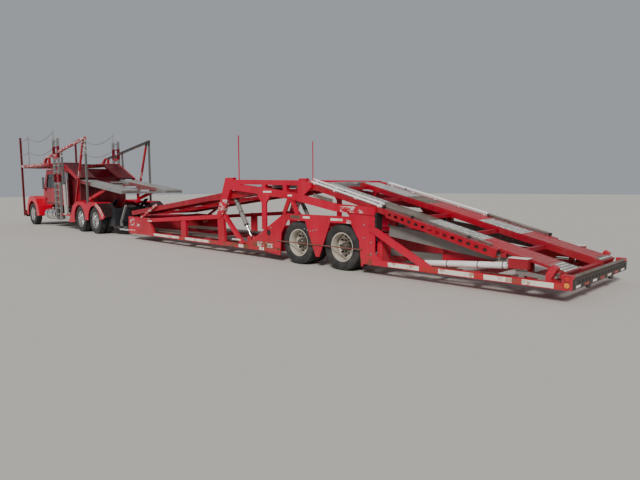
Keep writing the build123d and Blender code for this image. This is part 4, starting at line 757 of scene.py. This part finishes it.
def cup_field(start, end, y0, y1, pitch):
    """Rows of punched cups on a sloping track between two side-view points."""
    a, b = at(start[0], 0, start[1]), at(end[0], 0, end[1])
    run = (b - a).normalized()
    normal = Vector((-run.z, 0, run.x))
    if normal.z < 0:
        normal = -normal
    cup = bmesh.new()
    tread_cup(cup)
    turn = Matrix((run, normal.cross(run), normal)).transposed().to_4x4()
    bmesh.ops.transform(cup, matrix=turn, verts=cup.verts)
    mesh = mesh_from(cup, "cup")
    length = (b - a).length
    rows = int(length / (pitch * ROW_SPACING))
    columns = int((y1 - y0) / pitch)
    margin = ((y1 - y0) - (columns - 1) * pitch) / 2
    bm = bmesh.new()
    for row in range(rows):
        shift = pitch * ROW_SHIFT * (1 if row % 2 else -1)
        for column in range(columns):
            first_new = len(bm.verts)
            bm.from_mesh(mesh)
            bm.verts.ensure_lookup_table()
            spot = a + run * ((row + 0.5) * length / rows)
            spot += Vector((0, y0 + margin + column * pitch + shift, 0))
            bmesh.ops.translate(bm, vec=spot, verts=bm.verts[first_new:])
    bpy.data.meshes.remove(mesh)
    return bm


def along(start, end, x):
    """The point at x on the line between two side-view points."""
    return (x, start[1] + (end[1] - start[1]) * (x - start[0]) / (end[0] - start[0]))


DECKS = {
    "front": ((1.12, 1.700), (8.000, 0.890)),
    "rear": ((-0.340, 1.770), (-5.560, 0.430)),
    "head_level": ((19.000, 2.680), (14.000, 2.680)),
    "head_slope": ((14.000, 2.680), (12.560, 2.060)),
    "tractor": ((12.460, 1.970), (8.800, 1.570)),
    "mid": ((0.900, 1.770), (-0.220, 1.770)),
}
# Treads of each deck: name, deck, body, sides, first X, then each stretch's last X and finish.
TREADS = [
    ("front", "front", "front_deck", (1, -1), 1.20, ((4.60, "galvanised"), (7.95, "stained"))),
    ("rear", "rear", "rear_deck", (1,), -0.40, (
        (-1.95, "galvanised"), (-3.10, "browned"), (-4.15, "galvanised"), (-5.28, "deck_red"),
        (-5.54, "stained"))),
    ("rear", "rear", "rear_deck", (-1,), -0.40, (
        (-1.60, "galvanised"), (-2.14, "browned"), (-3.30, "deck_red"), (-4.15, "galvanised"),
        (-5.42, "deck_red"), (-5.54, "stained"))),
    ("head", "head_level", "head_deck", (1, -1), 18.90, ((14.02, "deck_red"),)),
    # The sloping head treads are dark red: painted shade.
    ("head", "head_slope", "head_deck", (1, -1), 13.98, ((12.60, "dark_red"),)),
    ("tractor", "tractor", "tractor_deck", (1, -1), 12.40, ((8.84, "galvanised"),)),
    ("mid", "mid", "trailer", (1, -1), 0.86, ((-0.18, "galvanised"),)),
]
# Each tread finish's lip finish. The lighter lips are worn metal, and also a painted highlight on
# the raised rims.
LIP_OF = {"galvanised": "worn_and_highlight_zinc", "stained": "worn_and_highlight_zinc", "browned": "stained",
          "deck_red": "worn_and_highlight_red", "dark_red": "dark_red"}


def build_tread(name, a, b, side, pitch, finish, body):
    """A stretch of cups on a thin pressed panel, from a to b in the side view."""
    y0, y1 = sorted((side * TRACK_IN, side * TRACK_OUT))
    bm = cup_field(a, b, y0 + 0.02, y1 - 0.02, pitch)
    first = len(bm.faces)
    mid_y, lift = (y0 + y1) / 2, 0.0012
    beam(bm, at(a[0], mid_y, a[1] + lift), at(b[0], mid_y, b[1] + lift), y1 - y0 - 0.004, 0.004)
    paint_from(bm, first, 0)
    finish_piece("tread_" + name, bm, [finish, "hole", LIP_OF[finish]], body)


def build_treads(pitch):
    letters = {}
    for name, deck, body, sides, first_x, stretches in TREADS:
        for side in sides:
            x0 = first_x
            for x1, finish in stretches:
                letter = letters.setdefault(name, iter("abcdefghijk"))
                a, b = (along(*DECKS[deck], x) for x in (x0, x1))
                build_tread(name + "_" + next(letter), a, b, side, pitch, finish, body)
                x0 = x1


# Side frame trim


# Strips along the rails: from X, to X, low, high and the place of the colour in the piece.
RAIL_TAPES = [
    (6.36, 4.90, 0.222, 0.288, 0), (4.90, 4.57, 0.222, 0.284, 1), (4.57, 3.35, 0.222, 0.286, 0),
    (3.35, 3.00, 0.222, 0.284, 1), (2.08, 1.89, 0.215, 0.285, 0), (1.27, 1.10, 0.215, 0.280, 0),
    (-2.49, -3.16, 0.212, 0.288, 0), (-3.16, -3.55, 0.215, 0.285, 1),
    (-3.55, -4.20, 0.212, 0.288, 0), (-4.20, -4.37, 0.215, 0.285, 1),
    (-4.37, -4.83, 0.212, 0.288, 0), (-4.83, -4.985, 0.215, 0.285, 1),
    (-4.985, -5.45, 0.212, 0.288, 0), (-5.45, -5.555, 0.214, 0.286, 1),
]
# Where tape on the rails and labels on the plates start and end across the truck.
TAPE_BACK, TAPE_FACE = HALF_WIDTH - 0.001, HALF_WIDTH + 0.0015
LABEL_BACK, LABEL_FACE = PLATE_Y + 0.0005, PLATE_Y + 0.0035
# Bare tape and label strips on the plates: X to X, low and high.
PLATE_MARKS = [(7.62, 8.03, 0.282, 0.318), (7.10, 7.34, 0.262, 0.295),
               (-0.414, -0.203, 1.006, 1.050), (-1.350, -1.023, 0.992, 1.040),
               (2.02, 2.36, 0.375, 0.410)]


def rail_tapes(bm):
    for x0, x1, z0, z1, finish in RAIL_TAPES:
        first = len(bm.faces)
        box(bm, (x1, TAPE_BACK, z0), (x0, TAPE_FACE, z1))
        paint_from(bm, first, finish)


def build_side_trim():
    bm = bmesh.new()
    rail_tapes(bm)
    mirrored(bm)
    finish_piece("rail_tape", bm, ["white_tape", "red_tape"], "trailer",
                 smooth=False)
    bm = bmesh.new()
    for x0, x1, z0, z1 in PLATE_MARKS:
        box(bm, (x0, LABEL_BACK, z0), (x1, LABEL_FACE, z1))
    box(bm, (6.72, TAPE_BACK, 0.640), (6.48, TAPE_FACE, 0.668))
    for x0, x1 in ((1.095, 0.80), (0.25, 0.11)):
        z = along((1.37, 1.600), (0.12, 1.475), (x0 + x1) / 2)[1]
        box(bm, (x1, TAPE_BACK, z - 0.016), (x0, TAPE_FACE, z + 0.022))
    mirrored(bm)
    finish_piece("nose_marks", bm, ["white_tape"], "trailer", smooth=False)
    bm = bmesh.new()
    box(bm, (-0.130, LABEL_BACK, 0.990), (0.186, LABEL_FACE, 1.062), 0.001)
    beam(bm, at(-0.53, PLATE_Y + 0.0025, 1.500), at(-1.08, PLATE_Y + 0.0025, 1.385), 0.003, 0.075)
    mirrored(bm)
    finish_piece("blank_plates", bm, ["stained"], "trailer", smooth=False)
    bm = bmesh.new()
    plate_bolts(bm)
    mirrored(bm)
    finish_piece("frame_bolts", bm, ["galvanised"], "trailer")
    bm = bmesh.new()
    hinge_hardware(bm)
    mirrored(bm)
    finish_piece("post_hardware", bm, ["gloss"], "trailer")


def plate_bolts(bm):
    """Bolt heads on the arch plate, the nose plate and the posts."""
    spots = [(-0.62 + 0.09 * i, 0.74 + 0.02 * abs(i - 2)) for i in range(5)]
    spots += [(7.7, 0.62), (7.7, 0.46), (7.45, 0.54), (7.2, 0.62), (7.2, 0.46)]
    spots += [(-1.9, 0.95), (-1.9, 0.70), (-2.08, 0.62), (-2.08, 0.40), (0.85, 0.75), (1.2, 0.60)]
    for x, z in spots:
        rod(bm, at(x, PLATE_Y, z), at(x, PLATE_Y + 0.014, z), 0.017, sides=6)


LATCH_X = -2.19


def hinge_hardware(bm):
    """The black latch and cable guide on the rear post, and a black disc in the gusset's eye:
    painted shade standing for the dark seen through the hole.
    """
    x = LATCH_X
    box(bm, (x - 0.025, 1.10, 0.86), (x + 0.025, 1.265, 1.19), 0.006)
    # A black disc fills the gusset's eye: painted shade, the dark seen through the hole.
    rod(bm, at(0.940, 1.243, 0.630), at(0.940, 1.248, 0.630), 0.071, sides=32)
    for z in (0.92, 1.02, 1.12):
        rod(bm, at(x, 1.262, z), at(x, 1.278, z), 0.026, sides=12)
    for y, low, radius in ((1.15, 0.60, 0.022), (1.225, 0.66, 0.016)):
        rod(bm, at(x, y, low), at(x, y, 0.88), radius)


# Rear deck trim


def lifted(deck, x, y, lift):
    """A point over a deck's surface, raised by lift."""
    start, end = DECKS[deck]
    return at(x, y, along(start, end, x)[1] + lift)


def edge_tube(bm, x0, x1, y, lift, radius, posts):
    """A tube along the rear deck's edge, on short posts."""
    a, b = lifted("rear", x0, y, lift), lifted("rear", x1, y, lift)
    rod(bm, a, b, radius, sides=12)
    for end, sign in ((a, -1), (b, 1)):
        run = (b - a).normalized() * sign
        rod(bm, end, end + run * 0.006, radius * 0.8, sides=12)
    count = max(2, int(abs(x1 - x0) / posts))
    for i in range(count + 1):
        x = x0 + (x1 - x0) * (i + 0.15) / (count + 0.3)
        box(bm, (x - 0.02, y - 0.012, lifted("rear", x, y, 0)[2] - 0.03),
            (x + 0.02, y + 0.012, lifted("rear", x, y, lift)[2]), 0.002)


# Edge tubes: from X, to X, Y, height over the deck, radius and the posts' spacing.
BRIGHT_TUBES = [(-0.42, -2.28, 1.205, 0.030, 0.019, 0.6), (-0.42, -2.28, 1.135, 0.075, 0.017, 0.6),
                (-0.60, -3.15, -1.200, 0.050, 0.026, 0.6)]
WORN_TUBES = [(-2.36, -4.45, 1.160, 0.045, 0.018, 0.5), (-3.20, -4.40, -1.160, 0.045, 0.026, 0.4)]
# Clamps on the edge tubes: X, side and radius.
CLAMPS = [(-1.30, 1, 0.024), (-2.32, 1, 0.032), (-2.95, 1, 0.020), (-4.05, 1, 0.022),
          (-1.10, -1, 0.020), (-3.17, -1, 0.034), (-4.42, -1, 0.028)]


def build_rear_deck_trim():
    bm = bmesh.new()
    for tube in BRIGHT_TUBES:
        edge_tube(bm, *tube)
    finish_piece("bright_edge_tubes", bm, ["white"], "rear_deck")
    bm = bmesh.new()
    for tube in WORN_TUBES:
        edge_tube(bm, *tube)
    finish_piece("worn_edge_tubes", bm, ["stained"], "rear_deck")
    bm = bmesh.new()
    for x, side, size in CLAMPS:
        a = lifted("rear", x, side * 1.19, 0.035)
        rod(bm, a - Vector((0.025, 0, 0)), a + Vector((0.025, 0, 0)), size, sides=10)
    finish_piece("edge_clamps", bm, ["black"], "rear_deck")
    bm = bmesh.new()
    beam(bm, at(-2.328, 0.98, 0.850), at(-4.702, 0.98, 0.550), 0.104, 0.209)
    mirrored(bm)
    finish_piece("deep_beam_skins", bm, ["grey"], "rear_deck", smooth=False)
    bm = bmesh.new()
    top = along(*DECKS["rear"], -4.86)[1] - 0.028
    box(bm, (-5.052, 1.10, top), (-4.748, 1.252, top + 0.012), 0.003)
    mirrored(bm)
    finish_piece("bracket_lids", bm, ["white"], "rear_deck")
    bm = bmesh.new()
    for x0, x1 in ((-3.98, -3.40), (-4.80, -4.30)):
        rod(bm, at(x0, 1.246, 0.318), at(x1, 1.246, 0.318), 0.010, sides=8)
    mirrored(bm)
    finish_piece("tie_rods", bm, ["iron"], "trailer")
    bm = bmesh.new()
    box(bm, (-4.660, 0.812, 0.352), (-3.395, 0.908, 0.518), 0.006)
    mirrored(bm)
    finish_piece("floor_beam_ends", bm, ["red"], "trailer")


# Tail


def build_tail(lamp_radius):
    bm = bmesh.new()
    rod(bm, at(TAIL_X + 0.030, -1.262, 0.390), at(TAIL_X + 0.030, 1.262, 0.390), 0.0255, sides=20)
    finish_piece("tail_rail_sleeve", bm, ["stained"], "trailer")
    bm = bmesh.new()
    tail_face(bm)
    finish_piece("tail_channel", bm, ["dark", "hole", "iron"], "trailer")
    bm = bmesh.new()
    for index, z in ((0, 0.369), (1, 0.273)):
        lamp_lens(bm, TAIL_X + 0.078, z, lamp_radius, index)
    mirrored(bm)
    lamps = finish_piece("tail_lamp_set", bm, ["red_lens", "amber_lens", "gloss"], "trailer",
                         outward=True)
    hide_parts("tail_lamps")
    bm = bmesh.new()
    for i in range(7):
        y = -1.05 + 0.35 * i
        first = len(bm.faces)
        box(bm, (TAIL_X - 0.0015, y - 0.09, 0.225), (TAIL_X + 0.001, y + 0.09, 0.262))
        paint_from(bm, first, i % 2)
    finish_piece("tail_tape", bm, ["white_tape", "red_tape"], "trailer",
                 smooth=False)


def lamp_lens(bm, x, z, radius, index):
    """A round lamp on the side face: a domed lens in a dark ring."""
    y = HALF_WIDTH
    first = len(bm.faces)
    profile = [(0.0001, y + 0.0068), (radius * 0.5, y + 0.0062), (radius * 0.85, y + 0.0045),
               (radius, y + 0.0025), (radius, y), (0.0001, y)]
    turned(bm, profile, at(x, 0, z), 28)
    paint_from(bm, first, index)
    first = len(bm.faces)
    ring = [(radius, y), (radius, y + 0.0050), (radius + 0.005, y + 0.0050), (radius + 0.005, y)]
    turned(bm, ring, at(x, 0, z), 28, closed=True)
    paint_from(bm, first, 2)


def tail_face(bm):
    """The dark channel across the tail with its row of holes."""
    x = TAIL_X - 0.001
    y = HALF_WIDTH - 0.001
    for z0, z1 in ((0.211, 0.223), (0.352, 0.369)):
        box(bm, (x, -y, z0), (TAIL_X + 0.06, y, z1))
    box(bm, (x + 0.0005, -y, 0.222), (x + 0.002, y, 0.353))
    for i in range(17):
        y = -1.16 + 0.145 * i
        first = len(bm.faces)
        rod(bm, at(x + 0.0015, y, 0.305), at(x + 0.0002, y, 0.305), 0.026)
        paint_from(bm, first, 1)
        first = len(bm.faces)
        for offset in (0.030, -0.030):
            box(bm, (x, y + offset - 0.002, 0.278), (x + 0.001, y + offset + 0.002, 0.332))
        paint_from(bm, first, 2)


# Cylinders


def bands(bm, start, end, shares, thickness, radius):
    """Rings round a barrel, each at its share of the length from start to end."""
    run = (end - start).normalized()
    for share in shares:
        spot = start.lerp(end, share)
        rod(bm, spot, spot + run * thickness, radius, sides=28)


def build_cylinders():
    bm = bmesh.new()
    hinge, eye = at(-3.100, 1.120, 0.325), at(-4.860, 1.120, 0.460)
    bands(bm, hinge, eye, (0.30, 0.62, 0.86), 0.016, 0.0585)
    mirrored(bm)
    finish_piece("rear_barrel_bands", bm, ["black"], "rear_barrels")
    bm = bmesh.new()
    top, foot = at(2.450, 1.085, 1.420), at(1.780, 1.085, 0.420)
    bands(bm, top, foot, (0.13, 0.36, 0.655), 0.022, 0.0600)
    # The pipe along the barrel, and its two ports.
    run = (foot - top).normalized()
    side = run.cross(Vector((0, 1, 0))).normalized() * 0.066
    rod(bm, top + run * 0.16 + side, top + run * 0.70 + side, 0.009, sides=10)
    for distance in (0.16, 0.70):
        spot = top + run * distance
        rod(bm, spot, spot + side * 1.05, 0.014, sides=10)
    mirrored(bm)
    finish_piece("front_barrel_fittings", bm, ["black"], "front_barrels")


# Cab, hood and fender trim


CAB_SIDE_Y = 1.020
DOOR_WINDOW = [(15.49, 1.68), (16.49, 1.68), (16.45, 1.79), (16.29, 2.24), (15.49, 2.24)]
SLEEPER_WINDOW = [(14.35, 1.75), (14.80, 1.75), (14.80, 2.15), (14.35, 2.15)]
SCREEN_LOW = (16.800, 1.775)
SCREEN_HIGH = (16.472, 2.335)
GRAB_RAIL_X = 15.250
GRAB_RAIL_Y = 1.060
TANK_Y = 0.900
TANK_Z = 0.560
FENDER_Y = 1.2628


def window_rubber(bm, points, y):
    for a, b in zip(points, points[1:] + points[:1]):
        rod(bm, at(a[0], y, a[1]), at(b[0], y, b[1]), 0.013, sides=8)


def build_door_trim(side, sign):
    """The window's rubber, the lever handle and the back of the mirror."""
    y = sign * CAB_SIDE_Y
    bm = bmesh.new()
    window_rubber(bm, DOOR_WINDOW, y + sign * 0.004)
    box(bm, (15.42, y, 0.998), (16.58, y + sign * 0.006, 1.040), 0.002)
    finish_piece("door_rubber_" + side, bm, ["gloss"], "door_" + side)
    bm = bmesh.new()
    handle_y = y + sign * 0.026
    rod(bm, at(15.49, handle_y, 1.515), at(15.62, handle_y, 1.515), 0.013, sides=12)
    box(bm, (16.447, y + sign * 0.108, 1.650), (16.4505, y + sign * 0.177, 2.090), 0.001)
    finish_piece("door_chrome_" + side, bm, ["chrome"], "door_" + side)


def cab_rubber(bm):
    """The rubbers of the sleeper's windows and the windscreen, the wipers and the tank straps."""
    for y in (0.905, 0.0, -0.905):
        rod(bm, at(SCREEN_LOW[0], y, SCREEN_LOW[1]), at(SCREEN_HIGH[0], y, SCREEN_HIGH[1]), 0.016,
            sides=8)
    for x, z in (SCREEN_LOW, SCREEN_HIGH):
        rod(bm, at(x, -0.905, z), at(x, 0.905, z), 0.016, sides=8)
    for y in (0.46, -0.46):
        tip = at(16.660, y + 0.30, 2.055)
        half_blade = Vector((-0.09, 0.02, 0.155))
        rod(bm, at(16.825, y, 1.770), tip, 0.006, sides=6)
        rod(bm, tip - half_blade, tip + half_blade, 0.008, sides=6)
    for sign in (1, -1):
        window_rubber(bm, SLEEPER_WINDOW, sign * (CAB_SIDE_Y + 0.002))
        y = sign * TANK_Y
        for x in (15.55, 16.20):
            rod(bm, at(x - 0.03, y, TANK_Z), at(x + 0.03, y, TANK_Z), 0.2585, sides=40)


def cab_chrome(bm):
    """The visor, the grab rails, the tanks' filler caps and end rings, and the steps."""
    beam(bm, at(16.400, 0, 2.452), at(16.640, 0, 2.385), 1.90, 0.010, 0.003)
    for sign in (1, -1):
        x, y = GRAB_RAIL_X, sign * GRAB_RAIL_Y
        rod(bm, at(x, y, 1.15), at(x, y, 1.85), 0.014, sides=12)
        for z in (1.16, 1.84):
            rod(bm, at(x, sign * 1.015, z), at(x, y, z), 0.012, sides=10)
        rod(bm, at(15.95, sign * 0.955, 0.780), at(15.95, sign * 0.955, 0.835), 0.050, sides=20)
        y = sign * TANK_Y
        rod(bm, at(15.246, y, TANK_Z), at(15.254, y, TANK_Z), 0.252, sides=40)
        for z in (0.420, 0.700):
            box(bm, (15.75, sign * 1.080, z), (16.05, sign * 1.168, z + 0.016), 0.004)


def build_cab_trim():
    for side, sign in SIDES:
        build_door_trim(side, sign)
    bm = bmesh.new()
    cab_rubber(bm)
    finish_piece("cab_rubber", bm, ["gloss"], "tractor")
    bm = bmesh.new()
    cab_chrome(bm)
    finish_piece("cab_chrome", bm, ["chrome"], "tractor")
    bm = bmesh.new()
    for y in (-0.78, -0.28, 0.0, 0.28, 0.78):
        rod(bm, at(16.330, y, 2.448), at(16.330, y, 2.482), 0.036, 0.026, sides=14)
    finish_piece("roof_lamps", bm, ["amber_lens"], "tractor")
    build_hood_trim()
    build_fender_stripes()


def build_hood_trim():
    """The grille's chrome frame and mesh, the headlamps' rims and the hood's hold-downs."""
    bm = bmesh.new()
    for y in (0.345, -0.345):
        beam(bm, at(18.824, y, 0.800), at(18.824, y, 1.500), 0.030, 0.016, 0.004)
    for z in (0.806, 1.494):
        box(bm, (18.816, -0.345, z - 0.015), (18.832, 0.345, z + 0.015), 0.004)
    for y in (0.900, -0.900):
        rod(bm, at(18.600, y, 1.010), at(18.639, y, 1.010), 0.124, 0.120, sides=36)
    finish_piece("hood_chrome", bm, ["chrome"], "hood")
    bm = bmesh.new()
    for i in range(14):
        z = 0.84 + 0.046 * i
        box(bm, (18.796, -0.328, z), (18.800, 0.328, z + 0.010))
    for y in (0.60, -0.60):
        box(bm, (16.93, y, 1.42), (16.99, y * 1.02, 1.52), 0.004)
    finish_piece("grille_mesh", bm, ["black"], "hood", smooth=False)


def build_fender_stripes():
    """Two bright strips along the rear slope of each drive fender."""
    bm = bmesh.new()
    line = [(10.66, 1.095), (10.33, 0.935), (10.06, 0.690)]
    inner = [(x + 0.045, z - 0.075) for x, z in line]
    for points, width in ((line, 0.045), (inner, 0.022)):
        for a, b in zip(points, points[1:]):
            beam(bm, at(a[0], FENDER_Y, a[1]), at(b[0], FENDER_Y, b[1]), 0.003, width)
    mirrored(bm)
    finish_piece("fender_stripes", bm, ["white_tape"], "tractor", smooth=False)


# Chains between the stanchions


CHAIN_Y = 1.240
LINK_WIRE_R = 0.0045
LINK_HALF_WIDTH = 0.014
STANCHIONS = (14.705, 17.950, 19.060)
# Each chain: its first stanchion, the heights of its ends and its sag.
CHAINS = ((0, 3.950, 3.930, 0.28), (0, 3.30, 3.28, 0.22), (1, 3.930, 3.900, 0.10),
          (1, 3.28, 3.25, 0.08))


def chain_link(bm, a, b, turned_on_side):
    """One oval link from a to b."""
    length = (b - a).length
    before = len(bm.verts)
    verts = bmesh.ops.create_circle(bm, segments=5, radius=LINK_WIRE_R)["verts"]
    bmesh.ops.rotate(bm, cent=(0, 0, 0), matrix=Matrix.Rotation(pi / 2, 3, "X"), verts=verts)
    bmesh.ops.translate(bm, vec=(LINK_HALF_WIDTH, 0, 0), verts=verts)
    edges = list({e for v in verts for e in v.link_edges})
    bmesh.ops.spin(bm, geom=verts + edges, cent=(0, 0, 0), axis=(0, 0, 1), angle=2 * pi,
                   steps=10, use_merge=True)
    bm.verts.ensure_lookup_table()
    ring = bm.verts[before:]
    bmesh.ops.scale(bm, vec=(1.0, 0.5 * length * 1.35 / LINK_HALF_WIDTH, 1.0), verts=ring)
    bmesh.ops.rotate(bm, cent=(0, 0, 0), matrix=Matrix.Rotation(pi / 2, 3, "X"), verts=ring)
    if turned_on_side:
        bmesh.ops.rotate(bm, cent=(0, 0, 0), matrix=Matrix.Rotation(pi / 2, 3, "Z"), verts=ring)
    bmesh.ops.transform(bm, matrix=heading(a, b) @ Matrix.Translation((0, 0, length / 2)),
                        verts=ring)


def chain(bm, start, end, sag, pitch):
    """A chain that hangs between two points."""
    count = int((end - start).length / pitch)
    points = []
    for i in range(count + 1):
        t = i / count
        points.append(start.lerp(end, t) - Vector((0, 0, 4 * sag * t * (1 - t))))
    for i in range(count):
        chain_link(bm, points[i], points[i + 1], i % 2 == 1)


def build_chains(pitch):
    bm = bmesh.new()
    for i, z0, z1, sag in CHAINS:
        chain(bm, at(STANCHIONS[i], CHAIN_Y, z0), at(STANCHIONS[i + 1], CHAIN_Y, z1), sag, pitch)
    mirrored(bm)
    finish_piece("guard_chains", bm, ["galvanised"], "tractor")


# Stage


FLOOR_HALF = 90.0
FLOOR_DROP = 0.002
SKY_COLOUR = (0.80, 0.85, 0.92, 1.0)
SUN_COLOUR = (1.0, 0.97, 0.92)
SUN_AIM = (0.42, -0.66, -0.62)
SUN_WIDTH = radians(14)
# The camera that was solved from the photograph.
CAMERA_SPOT = (-14.991, 8.821, 1.681)
CAMERA_LENS_MM = 29.35
CAMERA_YAW = radians(-44.956)
CAMERA_PITCH = radians(5.89)
CAMERA_ROLL = radians(-0.293)


def build_stage(settings):
    bm = bmesh.new()
    made = bmesh.ops.create_grid(bm, x_segments=1, y_segments=1, size=FLOOR_HALF)
    bmesh.ops.translate(bm, vec=(0, 0, -FLOOR_DROP), verts=made["verts"])
    floor = add_object("floor", mesh_from(bm, "floor"))
    floor.data.materials.append(ground("pale_floor"))
    world = bpy.data.worlds.new("studio")
    bpy.context.scene.world = world
    world.use_nodes = True
    sky = world.node_tree.nodes["Background"]
    sky.inputs["Color"].default_value = SKY_COLOUR
    sky.inputs["Strength"].default_value = settings.fill_strength
    key = bpy.data.lights.new("key", "SUN")
    key.energy = settings.key_strength
    key.angle = SUN_WIDTH
    key.color = SUN_COLOUR
    lamp = add_object("key", key)
    lamp.rotation_euler = Vector(SUN_AIM).to_track_quat("-Z", "Y").to_euler()
    lamp.location = (-20, 20, 25)


def build_camera():
    """The photograph's viewpoint: left rear, a little above a person's head height."""
    level = Vector((cos(CAMERA_YAW), sin(CAMERA_YAW), 0.0))
    zenith = Vector((0, 0, 1))
    across = level.cross(zenith)
    ahead = level * cos(CAMERA_PITCH) - zenith * sin(CAMERA_PITCH)
    up = zenith * cos(CAMERA_PITCH) + level * sin(CAMERA_PITCH)
    right = across * cos(CAMERA_ROLL) + up * sin(CAMERA_ROLL)
    top = up * cos(CAMERA_ROLL) - across * sin(CAMERA_ROLL)
    view = Matrix((right, top, -ahead)).transposed().to_4x4()
    lens_data = bpy.data.cameras.new("camera")
    lens_data.lens = CAMERA_LENS_MM
    lens_data.sensor_width = 36.0
    lens_data.clip_end = 500.0
    camera = add_object("camera", lens_data)
    camera.matrix_world = Matrix.Translation(CAMERA_SPOT) @ view
    bpy.context.scene.camera = camera


# Add-on classes


class TransporterSizes(bpy.types.PropertyGroup):
    cup_pitch: bpy.props.FloatProperty(
        name="Cup Pitch", description="Spacing of the punched cups across the deck treads",
        unit="LENGTH", min=0.06, default=0.074)
    chain_pitch: bpy.props.FloatProperty(
        name="Chain Pitch", description="Length of chain that each link takes up",
        unit="LENGTH", min=0.03, default=0.055)
    lamp_radius: bpy.props.FloatProperty(
        name="Tail Lamp Radius", description="Radius of the lenses of the tail lamps",
        unit="LENGTH", min=0.02, default=0.040)


class TransporterFinishes(bpy.types.PropertyGroup):
    red_paint: bpy.props.FloatVectorProperty(
        name="Frame Red", description="Paint of the trailer's frames and the side rails",
        subtype="COLOR", size=3, min=0.0, max=1.0, default=(0.58, 0.004, 0.036))
    bright_red_paint: bpy.props.FloatVectorProperty(
        name="Hood Red", description="Paint of the hood and its fenders",
        subtype="COLOR", size=3, min=0.0, max=1.0, default=(0.68, 0.0, 0.028))
    key_strength: bpy.props.FloatProperty(
        name="Key Light", description="Strength of the soft key light", default=2.9, min=0.0)
    fill_strength: bpy.props.FloatProperty(
        name="Fill Light", description="Strength of the pale surroundings", default=0.42, min=0.0)


class TRANSPORTER_OT_finishes(bpy.types.Operator):
    """Mix the paints, metals and rubber, and put them on the frame's nodes"""
    bl_idname = "transporter.finishes"
    bl_label = "Finishes"

    def execute(self, context):
        make_finishes(context.scene.transporter)
        dress_nodes()
        return {"FINISHED"}


class TRANSPORTER_OT_wheels(bpy.types.Operator):
    """Build the tyres, rims, nuts and hubs of every wheel"""
    bl_idname = "transporter.wheels"
    bl_label = "Wheels"

    def execute(self, context):
        build_wheels()
        return {"FINISHED"}


class TRANSPORTER_OT_treads(bpy.types.Operator):
    """Punch the treads of every deck"""
    bl_idname = "transporter.treads"
    bl_label = "Deck Treads"

    def execute(self, context):
        build_treads(context.scene.transporter_sizes.cup_pitch)
        return {"FINISHED"}


class TRANSPORTER_OT_side_trim(bpy.types.Operator):
    """Add tape, bolts and latches to the side frames"""
    bl_idname = "transporter.side_trim"
    bl_label = "Side Frame Trim"

    def execute(self, context):
        build_side_trim()
        return {"FINISHED"}


class TRANSPORTER_OT_rear_deck_trim(bpy.types.Operator):
    """Add edge tubes, clamps and beam skins to the rear deck"""
    bl_idname = "transporter.rear_deck_trim"
    bl_label = "Rear Deck Trim"

    def execute(self, context):
        build_rear_deck_trim()
        return {"FINISHED"}


class TRANSPORTER_OT_tail(bpy.types.Operator):
    """Finish the tail beam with its rail, lamps and tape"""
    bl_idname = "transporter.tail"
    bl_label = "Tail"

    def execute(self, context):
        build_tail(context.scene.transporter_sizes.lamp_radius)
        return {"FINISHED"}


class TRANSPORTER_OT_cylinders(bpy.types.Operator):
    """Put bands and fittings on the lift cylinders"""
    bl_idname = "transporter.cylinders"
    bl_label = "Cylinders"

    def execute(self, context):
        build_cylinders()
        return {"FINISHED"}


class TRANSPORTER_OT_cab_trim(bpy.types.Operator):
    """Trim the cab, the doors, the hood and the drive fenders"""
    bl_idname = "transporter.cab_trim"
    bl_label = "Cab Trim"

    def execute(self, context):
        build_cab_trim()
        return {"FINISHED"}


class TRANSPORTER_OT_chains(bpy.types.Operator):
    """Hang the guard chains between the stanchions"""
    bl_idname = "transporter.chains"
    bl_label = "Chains"

    def execute(self, context):
        build_chains(context.scene.transporter_sizes.chain_pitch)
        return {"FINISHED"}


class TRANSPORTER_OT_stage(bpy.types.Operator):
    """Lay the floor and set the lights and the camera"""
    bl_idname = "transporter.stage"
    bl_label = "Stage"

    def execute(self, context):
        build_stage(context.scene.transporter)
        build_camera()
        return {"FINISHED"}


STEPS = ("finishes", "wheels", "treads", "side_trim", "rear_deck_trim", "tail", "cylinders",
         "cab_trim", "chains", "stage")


class TRANSPORTER_PT_panel(bpy.types.Panel):
    bl_label = "Car Transporter"
    bl_idname = "TRANSPORTER_PT_panel"
    bl_space_type = "VIEW_3D"
    bl_region_type = "UI"
    bl_category = "Transporter"

    def draw(self, context):
        for field in ("cup_pitch", "chain_pitch", "lamp_radius"):
            self.layout.prop(context.scene.transporter_sizes, field)
        for field in ("red_paint", "bright_red_paint", "key_strength", "fill_strength"):
            self.layout.prop(context.scene.transporter, field)
        for step in STEPS:
            self.layout.operator("transporter." + step)


CLASSES = (
    TransporterSizes,
    TransporterFinishes,
    TRANSPORTER_OT_finishes,
    TRANSPORTER_OT_wheels,
    TRANSPORTER_OT_treads,
    TRANSPORTER_OT_side_trim,
    TRANSPORTER_OT_rear_deck_trim,
    TRANSPORTER_OT_tail,
    TRANSPORTER_OT_cylinders,
    TRANSPORTER_OT_cab_trim,
    TRANSPORTER_OT_chains,
    TRANSPORTER_OT_stage,
    TRANSPORTER_PT_panel,
)


def register():
    for cls in CLASSES:
        bpy.utils.register_class(cls)
    bpy.types.Scene.transporter = bpy.props.PointerProperty(type=TransporterFinishes)
    bpy.types.Scene.transporter_sizes = bpy.props.PointerProperty(type=TransporterSizes)


def unregister():
    del bpy.types.Scene.transporter_sizes
    del bpy.types.Scene.transporter
    for cls in reversed(CLASSES):
        bpy.utils.unregister_class(cls)


def main():
    register()
    for step in STEPS:
        getattr(bpy.ops.transporter, step)()


if __name__ == "__main__":
    main()
